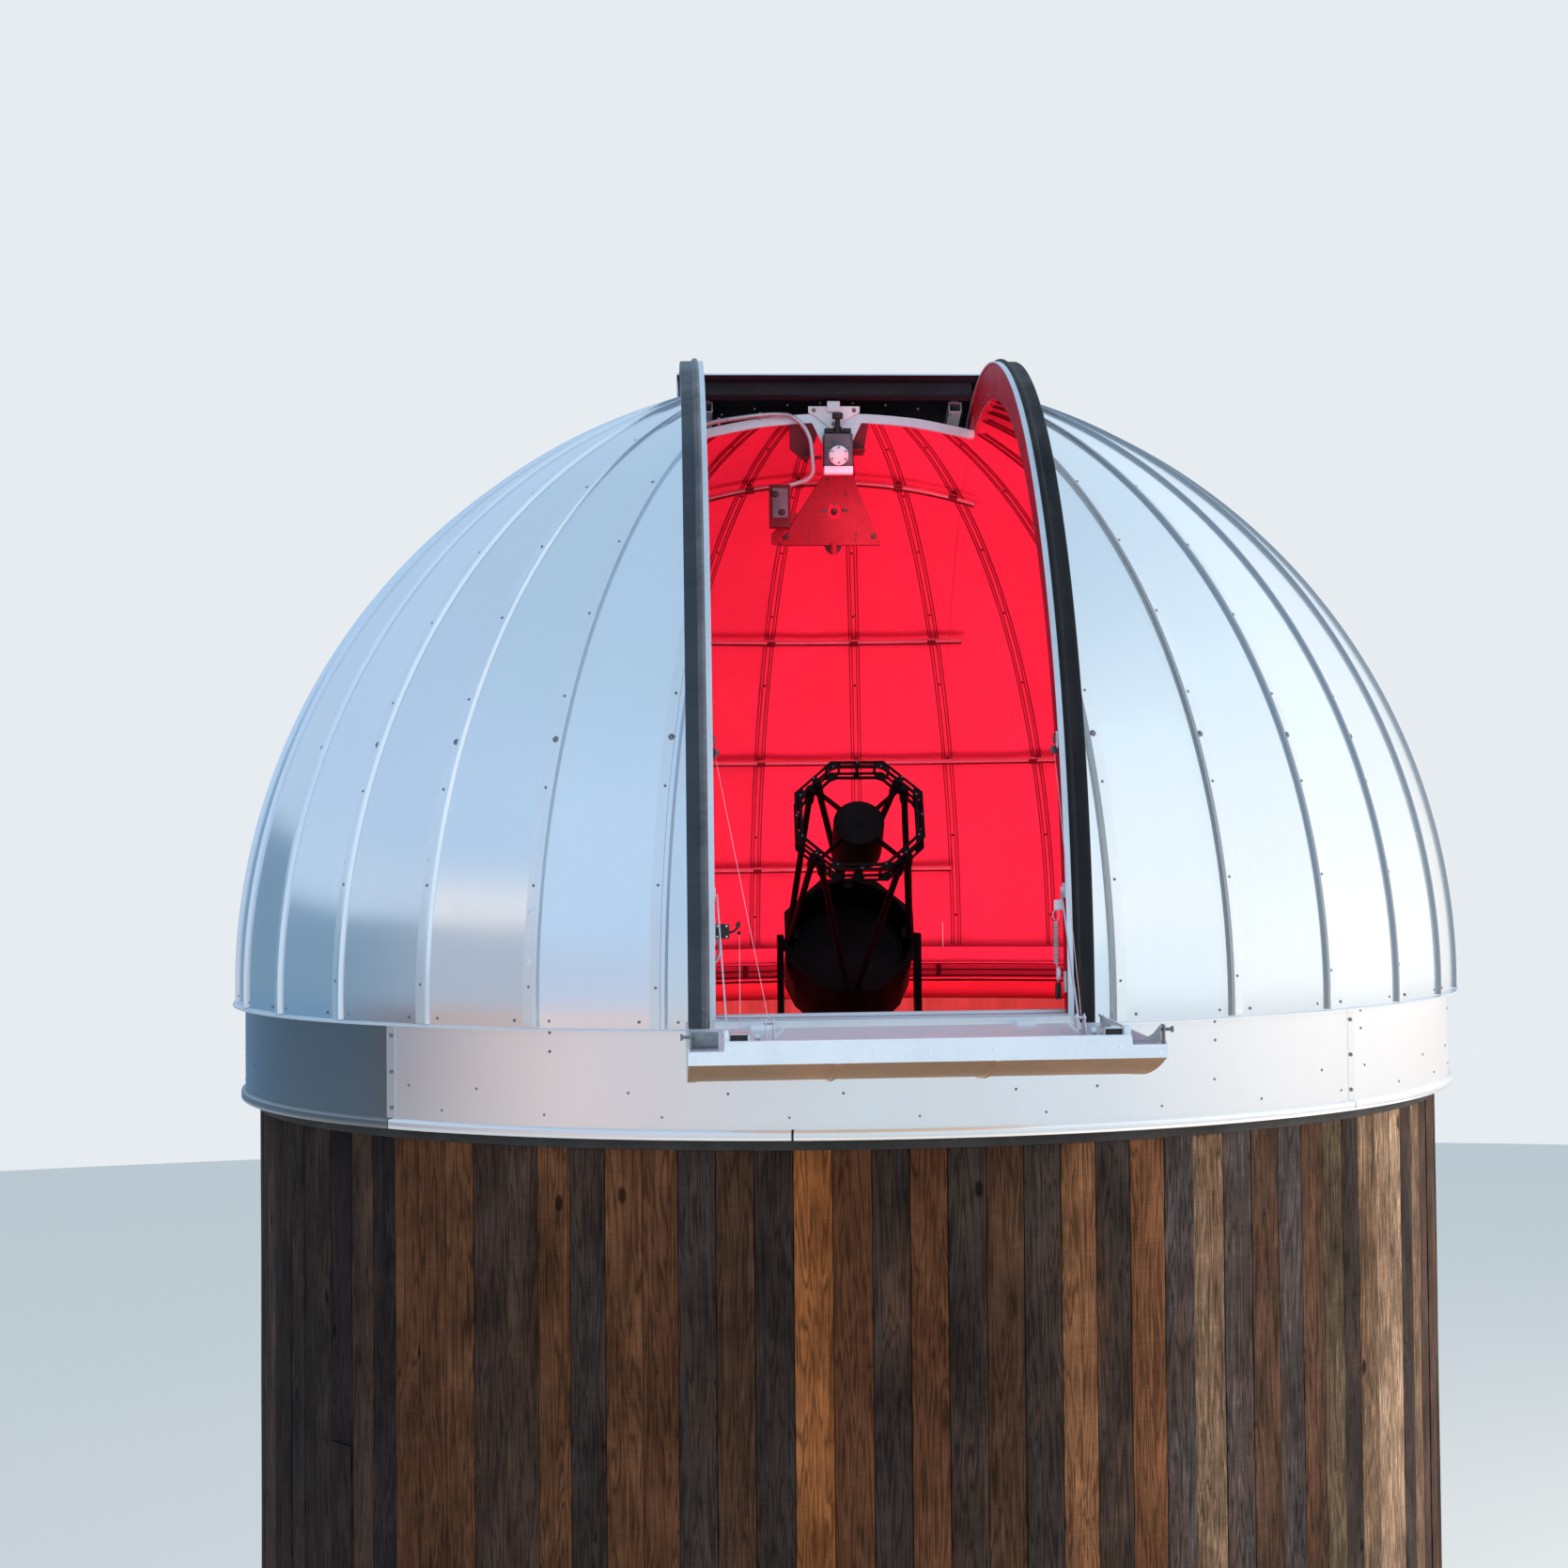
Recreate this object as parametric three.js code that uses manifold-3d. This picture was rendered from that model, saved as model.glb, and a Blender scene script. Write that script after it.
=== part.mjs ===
// A wooden observatory drum with a rotating metal dome, open at its slit.
// Millimetres, +Z up. The origin lies on the dome's axis at ground level, and the slit faces -Y.
import * as THREE from 'three';
import { mergeVertices } from 'three/addons/utils/BufferGeometryUtils.js';
import Module from 'manifold-3d';

const wasm = await Module();
wasm.setup();

// Clear gap between pieces that touch.
const SEAT = 0.3;

// Drum: a round framed wall on a slab, with an upper floor and a doorway at the back.
const DRUM_RADIUS = 2136;
const WALL_THICKNESS = 146;
const SLAB_HEIGHT = 120;
const WALL_TOP = 3950;
const FLOOR_TOP = 3050;
const FLOOR_THICKNESS = 60;
const DOOR_WIDTH = 900;
const DOOR_HEIGHT = 2050;
const DOOR_FRAME = 35;
const DOOR_FRAME_DEPTH = { inside: 15, outside: 50 };
const HATCH = { x0: 500, x1: 1300, y0: 450, y1: 1250 };
const PIER_HOLE = 190;
const EIGHTH_JOINT = 0.005;
const TRACK = { inner: 2050, outer: 2130, thickness: 20 };
const ROLLER = { half: 45, inner: 2066, outer: 2120 };

// Dome: a sphere whose centre lies a little above its drip flange.
const FLANGE_Z = 4100;
const CENTRE_Z = 4150;
const DOME_RADIUS = 2237;
const SHEET = 6;
const FLANGE_RADIUS = 2255;
const FLANGE_FOLD = 50;
const SKIN_TOP = 83;
const SKIN_STEP = 6;
const PANEL_JOINT = 0.004;
const SKIRT_RADIUS = 2210;
const SKIRT_BOTTOM = 3762;
const LIP_RADIUS = 2225;
const LIP_HEIGHT = 32;
const LIP_ROUND = 4.5;
const SKIRT_QUARTER = 44.996;
const BASE_RING_BOTTOM = 4030;
const BASE_RING_INNER = 2060;
const ROLLER_COUNT = 12;

// Slit: two arched curbs with a rubber seal on each, a header behind the zenith and a sill.
const SLIT_HALF = 540;
const CURB_SHEET = 4;
const CURB_INNER = 2152;
const CURB_FLANGE = 6;
const CURB_ARC = [-1.1, 177];
const SEAL_TOP = 2290;
const SEAL_THICKNESS = 6;
const SEAL_INNER_EDGE = 560;
const SEAL_OUTER_EDGE = 614;
const HEADER_Y = 484;
const HEADER_THICKNESS = 12;
const HEADER_DEPTH = 36;
const HEADER_LAP = 2;
const SILL = { front: -2300, back: -2150, height: 36 };
const HINGE = { x: 400, half: 30, reach: 12, rise: 14, pinHalf: 75, pinRadius: 6 };

// Shutters: the upper one rides over the curbs, and the lower one swings out on its sill.
const SHUTTER_HALF = 625;
const SHUTTER_SHEET = 5;
const LOWER_RADIUS = 2332;
const LOWER_LENGTH = 1280;
const LOWER_START = -1;
const UPPER_RADIUS = 2348;
const UPPER_TRAVEL = 69;
const UPPER_CLOSED = [29.9, 105];
const UPPER_BEAM_CLOSED = [31.9, 33.4];
const UPPER_SIDE_CLOSED = 31.6;
const BEAM_INNER = 2284;
const GUIDE_SHOE_ARCS = [103, 134, 168];
const GUIDE_SHOE_HALF = 30;
const GUIDE_SHOE_INNER = 577;
const GUIDE_SHOE_GAP = 8;
const CHEEK_INNER = 2262;
const BEAM_CLEARANCE = 10;
const LOWER_CHEEK = { end: 30, top: 30 };
const KNUCKLE = { half: 42, back: 40, front: 6.6, low: -4, high: 12, space: 34 };
const LOWER_BEAM = { half: 535, sheet: 8, low: -3, notch: 32, high: 57, fold: 32, foldSheet: 6 };
const LOWER_RAIL = { inner: 465, outer: 515, depth: 75, front: 33, back: 300, top: 200 };

// Under the header: gusset, gearbox, motor plate and control box. Inside: bars across the rear ribs.
const GUSSET = { wide: 110, narrow: 48, top: 6320, low: 6190 };
const GEARBOX = { half: 57, front: 374, low: 6079, high: 6240, coverZ: 6150, coverFront: 360, coverRadius: 38 };
const MOTOR_PLATE = { left: -235, right: 165, low: 5806, front: 420, thickness: 10 };
const PLATE_HOLE = { x: -15, z: 5940, wide: 26, high: 34 };
const PLATE_KNOB = { x: -20, y: 425, low: 5770, high: 5812, radius: 14 };
const CONTROL_BOX = { left: -270, right: -190, front: 350, low: 5870, high: 6035 };
const INNER_BARS = [['lowest', 412, 15.5], ['lower', 883, 30], ['upper', 1396, 20]];
const TOP_BAR = { y: 985, half: 590 };
const REAR_RIBS = [153.1, 164.35, 175.6, 187.5, 198.5, 209.5];
const INNER_BAR = { setback: 45, half: 12, clampHalf: 14, clampRise: 11, clampReach: 190, flatTop: 2215 };

// Telescope: an open truss tube in a fork on a pier that stands clear of the floor.
const PIER_RADIUS = 160;
const PIER_TOP = 3760;
const TUBE_PIVOT_Z = 4268;
const TUBE_ELEVATION = 33;
const CELL_RADIUS = 240;
const RING_RADIUS = 227;
const RING_DISTANCE = 850;
const PIER_FOOT = { radius: 300, thickness: 20 };
const TURNTABLE = { radius: 190, thickness: 40 };
const FORK = { half: 268, arm: 22, crossbarHalf: 90, crossbarTop: 110, armHalf: 62, armTop: 38 };
const TRUNNION = { radius: 24, bore: 24.7, inner: 230, outer: 257, boreEnd: 262 };
const CELL = { bottom: -230, top: 60, wall: 12, floor: 60 };
const TRUSS = { lowInner: 204, plate: 14, ringWall: 22, ringHalf: 40, poleRadius: 12 };
const POLE_ENDS = { footRadius: 226, footTurn: 5, topRadius: 200, topTurn: 40 };
const BAFFLE = { radius: 90, back: 195, front: 10, vane: 1.5, vaneBack: 38, vaneFront: 12 };

const AROUND = 72;
const FAR = 9000;

const CONCRETE = { color: 0x8f8c86, metalness: 0.0, roughness: 0.9 };
const BOARDS = { color: 0x5a4330, metalness: 0.0, roughness: 0.85 };
const PALE_WOOD = { color: 0x9a7d5a, metalness: 0.0, roughness: 0.8 };
const GALVANISED = { color: 0xb4bdc6, metalness: 0.9, roughness: 0.38 };
const SKIRT_METAL = { color: 0xc3c4c6, metalness: 0.85, roughness: 0.42 };
const WHITE_METAL = { color: 0xd5dce2, metalness: 0.6, roughness: 0.45 };
const DARK_STEEL = { color: 0x2c2a2b, metalness: 0.7, roughness: 0.5 };
const RED_METAL = { color: 0xb01828, metalness: 0.4, roughness: 0.5 };
const RUBBER = { color: 0x17181a, metalness: 0.0, roughness: 0.6 };
const BLACK = { color: 0x101012, metalness: 0.3, roughness: 0.5 };

const rad = THREE.MathUtils.degToRad;

/** Turns a closed geometry into a solid that can be joined and cut. */
function solid(geometry) {
  geometry.deleteAttribute('normal');
  geometry.deleteAttribute('uv');
  const merged = mergeVertices(geometry, 1e-3);
  return new wasm.Manifold(new wasm.Mesh({
    numProp: 3,
    vertProperties: new Float32Array(merged.attributes.position.array),
    triVerts: new Uint32Array(merged.index.array),
  }));
}

/** A box between two corners. */
function block(x0, x1, y0, y1, z0, z1) {
  const box = new THREE.BoxGeometry(x1 - x0, y1 - y0, z1 - z0);
  box.translate((x0 + x1) / 2, (y0 + y1) / 2, (z0 + z1) / 2);
  return solid(box);
}

/** A closed outline of [radius, height] points turned about the Z axis. */
function turned(outline, segments = AROUND) {
  const points = outline.map(([radius, height]) => new THREE.Vector2(radius, height));
  if (THREE.ShapeUtils.area(points) < 0) points.reverse();
  points.push(points[0].clone());
  return solid(new THREE.LatheGeometry(points, segments).rotateX(Math.PI / 2));
}

/** A closed outline of [x, radius] points turned about the X axis. */
function turnedAboutX(outline, segments = AROUND) {
  const points = outline.map(([x, radius]) => new THREE.Vector2(radius, x));
  if (THREE.ShapeUtils.area(points) < 0) points.reverse();
  points.push(points[0].clone());
  return solid(new THREE.LatheGeometry(points, segments).rotateZ(-Math.PI / 2));
}

/** A pie slice from one angle to another in its own plane, thick enough to cut anything here. */
function slice(from, to) {
  const shape = new THREE.Shape();
  const steps = Math.max(2, Math.ceil((to - from) / 40));
  shape.moveTo(0, 0);
  for (let i = 0; i <= steps; i += 1) {
    const angle = rad(from + (to - from) * i / steps);
    shape.lineTo(FAR * Math.cos(angle), FAR * Math.sin(angle));
  }
  const extruded = new THREE.ExtrudeGeometry(shape, { depth: 2 * FAR, bevelEnabled: false });
  return extruded.translate(0, 0, -FAR);
}

/** The part of space between two compass angles, 0 at the front and 90 at +X. */
function sector(from, to) {
  return solid(slice(from - 90, to - 90));
}

/** The part of space between two heights of arc about X, 0 at the front and 90 at the zenith. */
function archSector(from, to) {
  const turn = new THREE.Matrix4().makeBasis(
    new THREE.Vector3(0, -1, 0), new THREE.Vector3(0, 0, 1), new THREE.Vector3(-1, 0, 0));
  return solid(slice(from, to).applyMatrix4(turn));
}

/** A round bar between two points. */
function bar(start, end, radius, sides = 8) {
  const a = new THREE.Vector3(...start);
  const b = new THREE.Vector3(...end);
  const along = b.clone().sub(a);
  const rod = new THREE.CylinderGeometry(radius, radius, along.length(), sides);
  const turn = new THREE.Quaternion().setFromUnitVectors(new THREE.Vector3(0, 1, 0), along.normalize());
  rod.applyQuaternion(turn);
  rod.translate((a.x + b.x) / 2, (a.y + b.y) / 2, (a.z + b.z) / 2);
  return solid(rod);
}

/** Joins a list of solids into one. */
function joined(solids) {
  return solids.reduce((whole, piece) => whole.add(piece));
}

/** Adds a solid to a group as a named mesh with a finish of its own. */
function addMesh(group, name, shape, finish) {
  const { vertProperties, triVerts } = shape.getMesh();
  const geometry = new THREE.BufferGeometry();
  geometry.setAttribute('position', new THREE.BufferAttribute(new Float32Array(vertProperties), 3));
  geometry.setIndex(new THREE.BufferAttribute(new Uint32Array(triVerts), 1));
  geometry.computeVertexNormals();
  const mesh = new THREE.Mesh(geometry, new THREE.MeshStandardMaterial(finish));
  mesh.name = name;
  group.add(mesh);
}

/** A rectangle as an outline for turning. */
function rectangle(a0, a1, b0, b1) {
  return [[a1, b0], [a1, b1], [a0, b1], [a0, b0]];
}

/** The drum's slab and round wall, in eighths, with the doorway cut through the back one. */
function buildDrum() {
  const drum = new THREE.Group();
  addMesh(drum, 'ground_slab', turned([[DRUM_RADIUS, 0], [DRUM_RADIUS, SLAB_HEIGHT], [0, SLAB_HEIGHT], [0, 0]]),
    CONCRETE);
  const inner = DRUM_RADIUS - WALL_THICKNESS;
  const wall = turned(rectangle(inner, DRUM_RADIUS, SLAB_HEIGHT + SEAT, WALL_TOP));
  const names = ['front', 'front_right', 'right', 'rear_right', 'doorway', 'rear_left', 'left', 'front_left'];
  const eighth = (middle) => wall.intersect(sector(middle - 22.5 + EIGHTH_JOINT, middle + 22.5 - EIGHTH_JOINT));
  names.forEach((name, i) => {
    if (name === 'doorway') return;
    const middle = 45 * i;
    addMesh(drum, `wall_${name}`, eighth(middle), BOARDS);
  });
  const back = eighth(180);
  const half = DOOR_WIDTH / 2 + DOOR_FRAME;
  const head = SLAB_HEIGHT + DOOR_HEIGHT + DOOR_FRAME;
  addMesh(drum, 'wall_doorway_right', back.intersect(block(half + SEAT, FAR, 0, FAR, 0, FAR)), BOARDS);
  addMesh(drum, 'wall_doorway_left', back.intersect(block(-FAR, -half - SEAT, 0, FAR, 0, FAR)), BOARDS);
  addMesh(drum, 'wall_doorway_lintel', back.intersect(block(-half, half, 0, FAR, head, FAR)), BOARDS);
  const { inside, outside } = DOOR_FRAME_DEPTH;
  const frame = block(-half, half, inner - inside, DRUM_RADIUS - outside, SLAB_HEIGHT + SEAT, head - SEAT)
    .subtract(block(-DOOR_WIDTH / 2, DOOR_WIDTH / 2, 0, FAR, 0, SLAB_HEIGHT + DOOR_HEIGHT));
  addMesh(drum, 'doorway_frame', frame, PALE_WOOD);
  const floor = turned([[inner - SEAT, FLOOR_TOP - FLOOR_THICKNESS], [inner - SEAT, FLOOR_TOP],
    [PIER_HOLE, FLOOR_TOP], [PIER_HOLE, FLOOR_TOP - FLOOR_THICKNESS]])
    .subtract(block(HATCH.x0, HATCH.x1, HATCH.y0, HATCH.y1, 0, FAR));
  addMesh(drum, 'observing_floor', floor, PALE_WOOD);
  return drum;
}

/** The track on the wall's top, with the roller housings that carry the dome. */
function buildTrack() {
  const track = new THREE.Group();
  const plateTop = WALL_TOP + TRACK.thickness;
  const { half, inner, outer } = ROLLER;
  const rollers = [turned(rectangle(TRACK.inner, TRACK.outer, WALL_TOP + SEAT, plateTop))];
  for (let i = 0; i < ROLLER_COUNT; i += 1) {
    const housing = block(-half, half, -outer, -inner, plateTop - 1, BASE_RING_BOTTOM - SEAT);
    rollers.push(housing.rotate([0, 0, 15 + i * 360 / ROLLER_COUNT]));
  }
  addMesh(track, 'roller_track', joined(rollers), DARK_STEEL);
  return track;
}

/** The dome's base ring: a lower flange on the rollers, a web, and the drip flange that shows. */
function buildBaseRing(dome) {
  const web = SKIRT_RADIUS - SHEET - SEAT;
  const fold = web - FLANGE_FOLD;
  addMesh(dome, 'base_ring', turned([
    [BASE_RING_INNER, BASE_RING_BOTTOM], [web, BASE_RING_BOTTOM], [web, FLANGE_Z - SHEET],
    [FLANGE_RADIUS, FLANGE_Z - SHEET], [FLANGE_RADIUS, FLANGE_Z], [fold, FLANGE_Z],
    [fold, FLANGE_Z - SHEET], [web - SHEET, FLANGE_Z - SHEET], [web - SHEET, BASE_RING_BOTTOM + SHEET],
    [BASE_RING_INNER, BASE_RING_BOTTOM + SHEET]]), GALVANISED);
}

/** The skirt that hangs over the drum, in quarters, with a rolled lip along its bottom edge. */
function buildSkirt(dome) {
  const inside = SKIRT_RADIUS - SHEET;
  const skirt = turned([
    [inside, SKIRT_BOTTOM], [LIP_RADIUS - LIP_ROUND, SKIRT_BOTTOM], [LIP_RADIUS, SKIRT_BOTTOM + LIP_ROUND],
    [LIP_RADIUS, SKIRT_BOTTOM + LIP_HEIGHT - LIP_ROUND], [LIP_RADIUS - LIP_ROUND, SKIRT_BOTTOM + LIP_HEIGHT],
    [SKIRT_RADIUS, SKIRT_BOTTOM + LIP_HEIGHT], [SKIRT_RADIUS, FLANGE_Z - SHEET - SEAT],
    [inside, FLANGE_Z - SHEET - SEAT]]);
  ['front', 'right', 'rear', 'left'].forEach((name, i) => {
    const middle = 90 * i;
    const quarter = sector(middle - SKIRT_QUARTER, middle + SKIRT_QUARTER);
    addMesh(dome, `skirt_${name}`, skirt.intersect(quarter), SKIRT_METAL);
  });
}

/** Points along a quarter of the dome's section, from just under its equator up to near the top. */
function skinArc(radius, bottom, top = SKIN_TOP, step = SKIN_STEP) {
  const points = [];
  const start = THREE.MathUtils.radToDeg(Math.asin(bottom / radius));
  const count = Math.round((top - start) / step);
  for (let i = 0; i <= count; i += 1) {
    const angle = rad(start + (top - start) * i / count);
    points.push([radius * Math.cos(angle), CENTRE_Z + radius * Math.sin(angle)]);
  }
  return points;
}

/** The dome's skin: three panels a side of the slit, and the strip between the rear rails. */
function buildSkin(dome) {
  const bottom = FLANGE_Z + SEAT - CENTRE_Z;
  const outside = skinArc(DOME_RADIUS, bottom);
  const inside = skinArc(DOME_RADIUS - SHEET, bottom);
  const shell = turned([...outside, ...inside.reverse()]);
  const edge = SLIT_HALF + CURB_SHEET + SEAT;
  const panels = [['front', 0, 60], ['side', 60, 120], ['rear', 120, 180]];
  panels.forEach(([name, from, to]) => {
    const right = shell.intersect(sector(from + PANEL_JOINT, to - PANEL_JOINT))
      .intersect(block(edge, FAR, -FAR, FAR, 0, FAR));
    addMesh(dome, `dome_skin_${name}_right`, right, GALVANISED);
    const left = shell.intersect(sector(-to + PANEL_JOINT, -from - PANEL_JOINT))
      .intersect(block(-FAR, -edge, -FAR, FAR, 0, FAR));
    addMesh(dome, `dome_skin_${name}_left`, left, GALVANISED);
  });
  const strip = SLIT_HALF - SEAT;
  const rear = HEADER_Y + HEADER_THICKNESS + SEAT;
  addMesh(dome, 'dome_skin_rear_middle', shell.intersect(block(-strip, strip, rear, FAR, 0, FAR)), GALVANISED);
}

/** The slit's curbs, which run on over the back as rails, and the rubber seal along each. */
function buildCurbs(dome) {
  const flangeTop = SEAL_TOP - SEAL_THICKNESS;
  const web = SLIT_HALF + CURB_SHEET;
  const arch = archSector(...CURB_ARC);
  const below = flangeTop - CURB_FLANGE;
  [['right', 1], ['left', -1]].forEach(([name, side]) => {
    const curb = turnedAboutX([
      [side * SLIT_HALF, CURB_INNER], [side * web, CURB_INNER], [side * web, below],
      [side * SEAL_OUTER_EDGE, below], [side * SEAL_OUTER_EDGE, flangeTop],
      [side * (SEAL_INNER_EDGE - SEAT), flangeTop], [side * (SEAL_INNER_EDGE - SEAT), SEAL_TOP],
      [side * SLIT_HALF, SEAL_TOP]]);
    addMesh(dome, `slit_curb_${name}`, curb.intersect(arch).translate([0, 0, CENTRE_Z]), GALVANISED);
    const seal = turnedAboutX(
      rectangle(side * SEAL_INNER_EDGE, side * SEAL_OUTER_EDGE, flangeTop + SEAT, SEAL_TOP));
    addMesh(dome, `slit_seal_${name}`, seal.intersect(arch).translate([0, 0, CENTRE_Z]), RUBBER);
  });
}

/** The curved header at the slit's upper end, with the gusset plate that holds the gearbox. */
function buildHeader(dome) {
  const half = SLIT_HALF - SEAT;
  const outer = skinArc(DOME_RADIUS - HEADER_LAP, 0, 85, 5);
  const inner = skinArc(DOME_RADIUS - HEADER_DEPTH, 0, 85, 5);
  const shell = turned([...outer, ...inner.reverse()]);
  const band = shell.intersect(block(-half, half, HEADER_Y, HEADER_Y + HEADER_THICKNESS, CENTRE_Z, FAR));
  const gusset = new THREE.Shape();
  gusset.moveTo(-GUSSET.wide, GUSSET.top);
  gusset.lineTo(-GUSSET.narrow, GUSSET.low);
  gusset.lineTo(GUSSET.narrow, GUSSET.low);
  gusset.lineTo(GUSSET.wide, GUSSET.top);
  const plate = new THREE.ExtrudeGeometry(gusset, { depth: HEADER_THICKNESS, bevelEnabled: false });
  plate.rotateX(Math.PI / 2).translate(0, HEADER_Y + HEADER_THICKNESS, 0);
  addMesh(dome, 'slit_header', band.add(solid(plate)), WHITE_METAL);
}

/** The sill across the slit's foot, and the two hinge blocks that carry the lower shutter. */
function buildSill(dome, hinge) {
  const half = SLIT_HALF - SEAT;
  const { front, back, height } = SILL;
  addMesh(dome, 'slit_sill', block(-half, half, front, back, FLANGE_Z + SEAT, FLANGE_Z + height), WHITE_METAL);
  const { y, z } = hinge;
  [['right', 1], ['left', -1]].forEach(([name, side]) => {
    const lug = block(-HINGE.half, HINGE.half, y - HINGE.reach, front - SEAT, z - HINGE.rise, z + HINGE.rise);
    const pin = bar([-HINGE.pinHalf, y, z], [HINGE.pinHalf, y, z], HINGE.pinRadius, 12);
    const whole = lug.add(pin).translate([side * HINGE.x, 0, 0]);
    addMesh(dome, `flap_hinge_${name}`, whole, DARK_STEEL);
  });
}

/** The bars across the rear ribs inside the dome, each in an arc that follows the skin. */
function buildInnerBars(dome) {
  const { setback, half, clampHalf, clampRise, clampReach, flatTop } = INNER_BAR;
  const underSkin = skinArc(DOME_RADIUS - SHEET - SEAT, FLANGE_Z + SEAT - CENTRE_Z);
  const ball = turned([[0, underSkin[0][1] - 1], ...underSkin, [0, CENTRE_Z + flatTop]]);
  INNER_BARS.forEach(([name, height, reach]) => {
    const z = FLANGE_Z + height;
    const radius = Math.sqrt((DOME_RADIUS - setback) ** 2 - (z - CENTRE_Z) ** 2);
    const hoop = turned(rectangle(radius - half, radius + half, z - half, z + half));
    const pieces = [hoop.intersect(sector(180 - reach, 180 + reach))];
    const clamp = block(-clampHalf, clampHalf, radius - 2, radius + clampReach, z - clampRise, z + clampRise);
    const skin = Math.sqrt(DOME_RADIUS ** 2 - (z - CENTRE_Z) ** 2);
    const atCurb = (rib) => radius * Math.abs(Math.sin(rad(rib))) < SLIT_HALF + 2 * clampHalf
      && skin * Math.abs(Math.sin(rad(rib))) > SLIT_HALF - 2 * clampHalf;
    const ribs = REAR_RIBS.filter((rib) => Math.abs(rib - 180) < reach && !atCurb(rib));
    pieces.push(...ribs.map((rib) => clamp.rotate([0, 0, rib - 180])));
    addMesh(dome, `inner_bar_${name}`, joined(pieces).intersect(ball), GALVANISED);
  });
  buildTopBar(dome, ball);
}

/** The highest bar lies in an upright plane behind the header, so it bows with the roof. */
function buildTopBar(dome, ball) {
  const { setback, half, clampHalf, clampRise, clampReach } = INNER_BAR;
  const reach = DOME_RADIUS - setback;
  const rise = Math.sqrt(reach ** 2 - TOP_BAR.y ** 2);
  const hoop = turned(rectangle(rise - half, rise + half, -half, half)).rotate([90, 0, 0]);
  const pieces = [hoop.intersect(block(-TOP_BAR.half, TOP_BAR.half, -50, 50, 0, rise + 50)).translate([0, TOP_BAR.y, CENTRE_Z])];
  const clamp = block(-clampHalf, clampHalf, -clampRise, clampRise, reach - 2, reach + clampReach);
  REAR_RIBS.forEach((rib) => {
    const aside = TOP_BAR.y * Math.abs(Math.tan(rad(rib)));
    const atCurb = aside < SLIT_HALF + 2 * clampHalf && aside * DOME_RADIUS / reach > SLIT_HALF - 2 * clampHalf;
    if (aside > TOP_BAR.half - clampHalf || atCurb) return;
    const lean = THREE.MathUtils.radToDeg(Math.asin(Math.hypot(aside, TOP_BAR.y) / reach));
    pieces.push(clamp.rotate([-lean, 0, 0]).rotate([0, 0, rib - 180]).translate([0, 0, CENTRE_Z]));
  });
  addMesh(dome, 'inner_bar_highest', joined(pieces).intersect(ball), GALVANISED);
}

/** The shutter drive under the header: gearbox, hanging motor plate and control box. */
function buildDrive(dome) {
  const { half, front, low, high, coverZ, coverFront, coverRadius } = GEARBOX;
  const cover = bar([0, coverFront, coverZ], [0, front + 6, coverZ], coverRadius, 16);
  const gearbox = block(-half, half, front, HEADER_Y - SEAT, low, high).add(cover);
  addMesh(dome, 'shutter_gearbox', gearbox, WHITE_METAL);
  const plate = new THREE.Shape();
  plate.moveTo(-half, low - SEAT);
  plate.lineTo(MOTOR_PLATE.left, MOTOR_PLATE.low);
  plate.lineTo(MOTOR_PLATE.right, MOTOR_PLATE.low);
  plate.lineTo(half, low - SEAT);
  const hole = new THREE.Path();
  hole.absellipse(PLATE_HOLE.x, PLATE_HOLE.z, PLATE_HOLE.wide, PLATE_HOLE.high, 0, 2 * Math.PI, true);
  plate.holes.push(hole);
  const { thickness } = MOTOR_PLATE;
  const sheet = new THREE.ExtrudeGeometry(plate, { depth: thickness, bevelEnabled: false, curveSegments: 8 });
  sheet.rotateX(Math.PI / 2).translate(0, MOTOR_PLATE.front + thickness, 0);
  const { x, y } = PLATE_KNOB;
  const knob = bar([x, y, PLATE_KNOB.low], [x, y, PLATE_KNOB.high], PLATE_KNOB.radius, 12);
  addMesh(dome, 'motor_plate', solid(sheet).add(knob), RED_METAL);
  const { left, right } = CONTROL_BOX;
  const box = block(left, right, CONTROL_BOX.front, MOTOR_PLATE.front - SEAT, CONTROL_BOX.low, CONTROL_BOX.high);
  addMesh(dome, 'control_box', box, BLACK);
}

/** The upper shutter, stored open over the back: a curved tray and the beam across its front. */
function buildUpperShutter() {
  const shutter = new THREE.Group();
  const inner = UPPER_RADIUS - SHEET;
  const open = (angles) => angles.map((angle) => angle + UPPER_TRAVEL);
  const side = SHUTTER_HALF - SHUTTER_SHEET;
  const cover = turnedAboutX(rectangle(-SHUTTER_HALF, SHUTTER_HALF, inner, UPPER_RADIUS))
    .intersect(archSector(...open(UPPER_CLOSED)));
  const cheek = turnedAboutX(rectangle(-SHUTTER_HALF, -side, CHEEK_INNER, inner + 1))
    .intersect(archSector(...open([UPPER_SIDE_CLOSED, UPPER_CLOSED[1]])));
  const shoe = block(GUIDE_SHOE_INNER, side + 1, -GUIDE_SHOE_HALF, GUIDE_SHOE_HALF,
    SEAL_TOP + SEAT, inner - GUIDE_SHOE_GAP);
  const shoes = GUIDE_SHOE_ARCS.map((arc) => shoe.rotate([90 - arc, 0, 0]));
  const rightSide = joined([cheek.mirror([1, 0, 0]), ...shoes]);
  const tray = joined([cover, rightSide, rightSide.mirror([1, 0, 0])]);
  addMesh(shutter, 'upper_shutter_cover', tray.translate([0, 0, CENTRE_Z]), GALVANISED);
  const half = SLIT_HALF - BEAM_CLEARANCE;
  const beam = turnedAboutX(rectangle(-half, half, BEAM_INNER, inner - SEAT))
    .intersect(archSector(...open(UPPER_BEAM_CLOSED)));
  addMesh(shutter, 'upper_shutter_beam', beam.translate([0, 0, CENTRE_Z]), DARK_STEEL);
  return shutter;
}

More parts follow.
